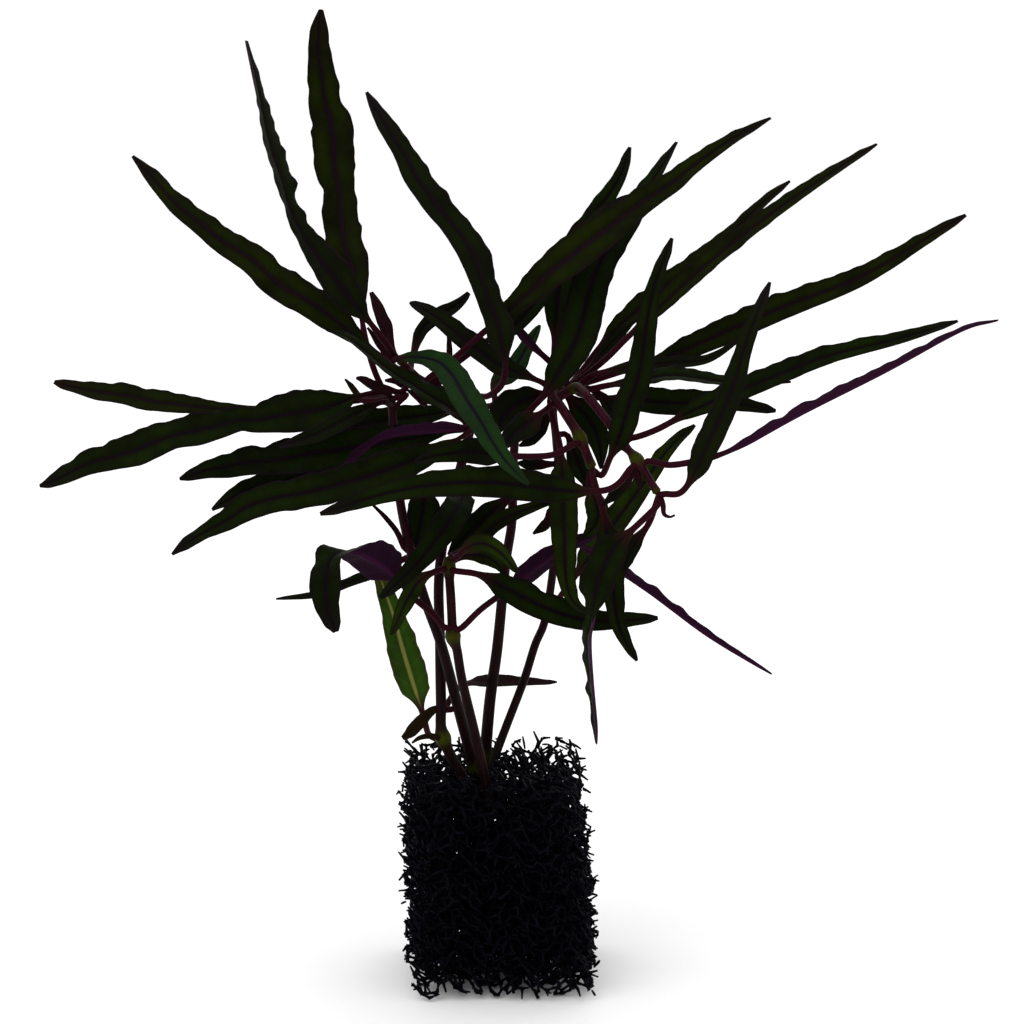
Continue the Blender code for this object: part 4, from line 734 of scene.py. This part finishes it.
# Small growth: short leaves inside the crown, and at the joints young leaves, bracts, scale leaves and hooks
smallGrowth = {
    "young_leaf_left": ("plum", (20,), ((-23.4, 31.2, -1.6, 0.6), (-24.4, 34, -1, 2),
        (-25.6, 37.8, 0, 2.8), (-27, 41.2, 1.6, 2.2), (-28.2, 44, 3, 0.8))),
    "bract_left": ("plum", (30,), ((-21.8, 24.2, -4, 0.6), (-24.6, 24.4, -6, 1.7),
        (-27.6, 25.2, -7.5, 2.1), (-29.8, 26.4, -8, 1.6), (-31.2, 26.8, -8, 0.5))),
    "bract_green": ("deep", (10,), ((-29.4, 22.2, 4, 0.6), (-30.8, 23.4, 5, 1.4), (-32.2, 25.2, 6, 1.2),
        (-33.4, 26.6, 6.6, 0.3))),
    "tendril_left": ("plum", (0,), ((-21.2, 23.4, -5, 0.8), (-22.8, 21.6, -7, 0.8),
        (-24, 19.2, -8.5, 0.7), (-24, 16.8, -9.5, 0.6), (-22.6, 15.2, -10, 0.3))),
    "tendril_right": ("plum", (0,), ((29.6, 3, -25.4, 0.8), (30.2, 1.4, -26.4, 0.8),
        (30.4, -0.4, -27, 0.7), (31.6, -1, -27, 0.5), (32.6, -0.6, -27, 0.3))),
    "bract_right": ("plum", (20,), ((24, 10.8, -20.4, 0.5), (24.6, 9, -21.4, 1.4), (25.2, 6.8, -22, 1.5),
        (25.8, 4.4, -22, 0.4))),
    "inner_leaf_1": ("dusky_painted_sheen", (10,), ((7.6, 23.6, 4, 0.8), (4.2, 23, 2, 4.6), (0.6, 21.4, 0, 6.8),
        (-1.8, 19, -2, 6.2), (-2.6, 15.8, -3, 0.6))),
    "inner_leaf_2": ("deep", (10,), ((10.4, 24, 3, 1), (12.8, 21.4, 2, 4.4), (15.6, 18.2, 1, 5.6),
        (17.4, 13.8, 0, 4.2), (17.8, 8.6, -1, 0.6))),
    "inner_leaf_3": ("deep", (20,), ((11, 15.4, 6, 1.2), (12.2, 12.2, 5, 4), (13.8, 8.4, 4, 4.4),
        (15.4, 4.4, 3, 0.8))),
    "inner_leaf_4": ("deep", (20,), ((8.4, 20.4, 7, 0.8), (6.9, 18.8, 6, 2.8), (5.4, 16.2, 5, 3),
        (3.6, 14.2, 4, 2.4), (1.4, 13.2, 4, 0.5))),
    "inner_leaf_5": ("dusky_painted_sheen", (20,), ((15.2, 28.4, 3, 0.6), (18, 31.8, 5, 2.2), (21.4, 35.4, 7, 2.2),
        (24.8, 38.4, 9, 0.4))),
    "inner_leaf_6": ("dusky_painted_sheen", (20,), ((15.6, 24.6, 0, 0.8), (17.8, 23.2, -1, 2.4), (19.5, 20.8, -2, 2.8),
        (20.2, 18.4, -3, 0.4))),
    "inner_leaf_7": ("deep", (10,), ((-17.6, 6.6, -9, 1), (-17.6, 2.6, -9, 6.4), (-18, -0.8, -9, 6.2),
        (-18.8, -4.2, -9, 3.8), (-19.4, -7.2, -9, 0.5))),
    "inner_leaf_8": ("deep", (15,), ((0.2, 3.2, -2, 1), (-3.2, 0.8, -3, 4.2), (-6.6, -2.2, -4, 4.6),
        (-10, -5.4, -5, 3.6), (-12.8, -8.6, -6, 0.5))),
    "inner_leaf_9": ("lime", (15,), ((15.4, 6.2, -11, 1), (16.4, 3, -10, 4.4), (17.2, -0.4, -9, 4.6),
        (16, -3.4, -9, 3), (14, -5.2, -9, 0.5))),
    "inner_leaf_10": ("lime", (15,), ((-11.4, -9.6, -13, 0.8), (-9.2, -8.7, -12, 2.6),
        (-6, -8.7, -11, 3.6), (-3.2, -10.1, -10, 2.8), (-1.6, -12.4, -9.6, 0.5))),
    "inner_leaf_11": ("dusky_painted_sheen", (10,), ((8.8, 9.6, 9.5, 0.8), (6, 9.5, 8.6, 2.6), (3, 9.6, 8, 2.4),
        (1, 9.8, 8, 0.5))),
    "inner_leaf_12": ("dusky_painted_sheen", (10,), ((7.6, 0.4, 12.4, 0.6), (6.8, -2.4, 11.6, 2.8),
        (4.2, -4.4, 11, 0.5))),
    "inner_leaf_13": ("dusky_painted_sheen", (10,), ((27.4, -2.2, -24, 0.6), (25, -5.6, -23, 3), (22.9, -9.4, -22, 3),
        (22, -12.8, -21.6, 0.5))),
    "inner_leaf_14": ("dusky_painted_sheen", (10,), ((24.6, 8.4, -20, 0.8), (22.6, 5.4, -19.4, 1.8),
        (20.2, 3.2, -18.8, 2.2), (18.2, 1.4, -18, 0.5))),
    "inner_stalk_3": ("plum", (0,), ((-24.2, 30.4, -2, 1.2), (-26.5, 33.5, -2, 1.5),
        (-28.9, 36.9, -2, 0.5))),
    "inner_stalk_1": ("plum", (0,), ((-21.4, -7.4, -10.6, 1.1), (-23, -4, -11, 1.1), (-25.4, -1, -11, 1),
        (-28, 1.6, -11, 0.5))),
    "inner_stalk_2": ("dusky_painted_sheen", (0,), ((-12.8, 30, 0, 0.9), (-12.5, 32.6, 0.6, 1.2),
        (-12.8, 36.8, 1.2, 0.5))),
    "bract_left_2": ("dusky_painted_sheen", (30,), ((-21.6, 25.4, -2, 0.6), (-23.4, 26.2, -3, 1.6),
        (-25.4, 26.3, -3.6, 0.4))),
    "bract_left_3": ("dusky_painted_sheen", (30,), ((-17.4, 21.8, -3, 0.6), (-19, 23, -4, 1.6),
        (-20.9, 24.4, -4.6, 0.4))),
    "scale_leaf_low": ("dry", (10,), ((-14.2, -38.8, -8.4, 0.5), (-16, -39.8, -9.4, 1.8),
        (-18.2, -41.8, -10.4, 2.6), (-20.2, -44, -11, 2.3), (-21.9, -45.3, -11.4, 1))),
    "scale_leaf_low_2": ("dry", (30,), ((-14, -45.2, -10.6, 0.5), (-16.2, -44.8, -12, 1.2),
        (-18.4, -45.2, -13, 1), (-20, -46.2, -13.4, 0.4))),
}


leafSkins["dry"] = scaleLeafMaterial()
for name, (kind, turns, points) in smallGrowth.items():
    outlinedLeaves[name] = (turns, points)
    finishPiece(name, leafMesh(name), leafSkins[kind], [])
print("small growth done")


# Foam: the struts of jittered Kelvin cells, thick at their joints and thin between
foam = {
    "cell": 4.4, "jitter": 0.5, "warp": 1.1, "warpLength": 11.0,     # mm
    "turned": (0.5, 0.35, 0.9),                                     # radians
    "jointRadius": 0.44, "strutRadius": 0.27, "wobble": 0.15,
    "endShare": 0.8,      # the free end of a strut, as a share of its radius
    "width": 34.5, "depth": 36.0, "flare": 1.4, "lean": -3.0, "ragged": 1.3,     # mm
    "footGap": 0.45, "topGap": 0.6, "margin": 0.5, "beyond": 1.6,   # mm
    "clearance": 0.5,     # mm round the stems
    "looseShare": 0.4,    # struts kept of those that stick out
    "openTop": 0.5, "openFoot": 0.2, "openDepth": 13.0,
    "seed": 7,
}


def foamLattice(reach):
    # corners and edges of the cells, each a truncated octahedron, that fill a cube 2 * reach cells wide
    unit = np.array([(0, 1, 2), (0, -1, 2), (0, 1, -2), (0, -1, -2)]) / 4
    orders = ((0, 1, 2), (1, 0, 2), (1, 2, 0), (2, 1, 0), (0, 2, 1), (2, 0, 1))
    corners = np.unique(np.concatenate([unit[:, order] for order in orders]), axis=0)
    gaps = np.linalg.norm(corners[:, None] - corners[None], axis=2)
    pairs = np.argwhere(np.triu(np.abs(gaps - math.sqrt(2) / 4) < 0.01))
    counts = [np.arange(2 * reach)] * 3
    cells = np.stack(np.meshgrid(*counts, indexing="ij"), -1).reshape(-1, 3).astype(float)
    cells = np.concatenate([cells, cells + 0.5])
    ends = [(cells[:, None] + corners[pairs[:, end]][None]).reshape(-1, 3) for end in (0, 1)]
    spots, index = np.unique(np.round(np.concatenate(ends) * 4).astype(int), axis=0, return_inverse=True)
    struts = np.unique(np.sort(index.reshape(2, -1).T, axis=1), axis=0)
    return spots / 4 - reach, struts


def foamPlaces(spots, height, spread):
    # the cells lie askew to the cut faces, and warped
    turned = np.array(Euler(foam["turned"]).to_matrix())
    centre = np.array((0.0, 0.0, height / 2))
    places = spots * foam["cell"] @ turned.T
    places += foam["warp"] * np.sin(places[:, (1, 2, 0)] * 2 * math.pi / foam["warpLength"]) + centre
    places += spread.uniform(-1, 1, places.shape) * foam["jitter"]
    places[:, 0] += foam["lean"] * places[:, 2] / height
    return places


def foamKept(places, struts, low, high, spread):
    # the struts inside the block's torn outline, with some that stick out, and none where a stem runs
    height = high[2]
    upright = places.copy()
    upright[:, 0] -= foam["lean"] * places[:, 2] / height
    bulge = spread.uniform(-foam["ragged"], foam["ragged"], len(places))
    flare = foam["flare"] * (1 - places[:, 2] / height)
    inside = ((np.abs(upright[:, 0]) < foam["width"] / 2 + bulge + flare)
              & (np.abs(upright[:, 1]) < foam["depth"] / 2 + bulge)
              & (places[:, 2] > foam["footGap"]) & (places[:, 2] < height - foam["topGap"] + bulge))
    beyond = np.array((foam["beyond"], foam["beyond"], 0.0))
    top = (0, 0, foam["beyond"])
    within = ((places > low - beyond + foam["margin"]) & (places < high + beyond + top)).all(axis=1)
    a, b = struts[:, 0], struts[:, 1]
    keep = within[a] & within[b] & (inside[a] | inside[b])
    loose = keep & ~(inside[a] & inside[b])
    keep &= ~loose | (spread.uniform(0, 1, len(struts)) < foam["looseShare"])
    # the torn top and foot are more open than the middle
    heights = (places[a, 2] + places[b, 2]) / 2
    rising = np.clip((heights - height + foam["openDepth"]) / foam["openDepth"], 0, 1)
    falling = np.clip(1 - heights * 2 / foam["openDepth"], 0, 1)
    keep &= spread.uniform(0, 1, len(struts)) > foam["openTop"] * rising + foam["openFoot"] * falling
    mids = (places[a] + places[b]) / 2
    for name in rooted:
        points = [np.array(placed(p)) for p in stems[name][2][:3]]
        for p, q in zip(points, points[1:]):
            share = np.clip(((mids - p) @ (q - p)) / ((q - p) @ (q - p)), 0, 1)
            away = np.linalg.norm(mids - (p + share[:, None] * (q - p)), axis=1)
            keep &= away > stems[name][0] + foam["clearance"]
    return struts[keep]


def strutCorners(places, struts, spread):
    # three triangles on each strut: at its ends and halfway along
    start, stop = places[struts[:, 0]], places[struts[:, 1]]
    along = stop - start
    along /= np.linalg.norm(along, axis=1)[:, None]
    helper = np.where(np.abs(along[:, 2:]) < 0.9, [[0.0, 0, 1]], [[1.0, 0, 0]])
    side = np.cross(along, helper)
    side /= np.linalg.norm(side, axis=1)[:, None]
    other = np.cross(along, side)
    degree = np.bincount(struts.ravel(), minlength=len(places))
    wobble = spread.uniform(1 - foam["wobble"], 1 + foam["wobble"], (3, len(struts)))
    corners = []
    for j, (share, ends) in enumerate(((0.0, struts[:, 0]), (0.5, None), (1.0, struts[:, 1]))):
        radius = foam["strutRadius"] * wobble[j]
        if ends is not None:
            free = foam["strutRadius"] * foam["endShare"]
            radius = np.where(degree[ends] > 1, foam["jointRadius"], free) * wobble[j]
        for turn in range(3):
            angle = 2 * math.pi * turn / 3
            aside = side * math.cos(angle) + other * math.sin(angle)
            corners.append(start + (stop - start) * share + aside * radius[:, None])
    return np.stack(corners, axis=1)


def foamPieces():
    low, high = (np.array(corner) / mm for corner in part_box("foam_block"))
    height = high[2]
    spread = np.random.default_rng(foam["seed"])
    spots, struts = foamLattice(int(np.linalg.norm(high - low) / foam["cell"] / 2) + 2)
    places = foamPlaces(spots, height, spread)
    corners = strutCorners(places, foamKept(places, struts, low, high, spread), spread)
    faces = np.array([(r * 3 + k, r * 3 + (k + 1) % 3, r * 3 + 3 + (k + 1) % 3, r * 3 + 3 + k)
                      for r in (0, 1) for k in range(3)])
    caps = np.array([(2, 1, 0), (6, 7, 8)])
    material = foamMaterial()
    layer = np.digitize(corners[:, :, 2].mean(axis=1), [height / 3, 2 * height / 3])
    for number, (place, nodes) in enumerate((("lower", []), ("middle", ["foam_block"]), ("upper", []))):
        own = corners[layer == number]
        offsets = np.arange(len(own))[:, None, None] * 9
        sides = (faces[None] + offsets).reshape(-1, 4).tolist()
        ends = (caps[None] + offsets).reshape(-1, 3).tolist()
        mesh = bpy.data.meshes.new("foam_" + place)
        mesh.from_pydata((own.reshape(-1, 3) * mm).tolist(), [], sides + ends)
        addPiece("foam_" + place, mesh, material, nodes)
        print("foam", place, "struts", len(own), "faces", len(sides) * 2 + len(ends))


foamPieces()
print("foam done")


# Floor, light and camera
studio = {
    "floor": "#f4f4f4", "floorGloss": {"Roughness": 0.9, "Specular IOR Level": 0.1},
    "sky": "#ffffff", "skyStrength": 1.12,
    # metres and watts
    "floorSize": 6.0, "lampSize": 0.9, "aim": (0.0, 0.0, 0.1),
    "key": ((-0.5, -0.7, 1.1), 4.0), "back": ((0.3, 0.9, 0.9), 2.0),
    "sensor": 36.0, "clip": (0.01, 50.0),
}


def plainFloor():
    # matte paper: an even pale surface with no gloss to speak of
    bm = bmesh.new()
    bmesh.ops.create_grid(bm, x_segments=1, y_segments=1, size=studio["floorSize"])
    mesh = bpy.data.meshes.new("floor")
    bm.to_mesh(mesh)
    bm.free()
    material, tree, shader = newMaterial("matte_paper")
    setSockets(tree, shader, {"Base Color": studio["floor"], **studio["floorGloss"]})
    mesh.materials.append(material)
    floor = bpy.data.objects.new("floor", mesh)
    bpy.context.scene.collection.objects.link(floor)


def addLamp(name):
    place, power = studio[name]
    light = bpy.data.lights.new(name, "AREA")
    light.energy = power
    light.size = studio["lampSize"]
    holder = bpy.data.objects.new(name, light)
    holder.location = place
    holder.rotation_euler = (Vector(studio["aim"]) - Vector(place)).to_track_quat("-Z", "Y").to_euler()
    bpy.context.scene.collection.objects.link(holder)


def addCamera():
    camera = bpy.data.objects.new("camera", bpy.data.cameras.new("camera"))
    camera.location = eye * mm
    camera.rotation_euler = (-towardEye).to_track_quat("-Z", "Y").to_euler()
    camera.data.sensor_width = studio["sensor"]
    camera.data.lens = camera.data.sensor_width * frontView["distance"] / frontView["width"]
    camera.data.clip_start, camera.data.clip_end = studio["clip"]
    bpy.context.scene.collection.objects.link(camera)
    bpy.context.scene.camera = camera


plainFloor()
world = bpy.data.worlds.new("studio")
world.use_nodes = True
setSockets(world.node_tree, world.node_tree.nodes["Background"], {
    "Color": studio["sky"], "Strength": studio["skyStrength"]})
bpy.context.scene.world = world
bpy.context.scene.view_settings.view_transform = "Standard"
addLamp("key")
addLamp("back")
addCamera()
print("studio done")
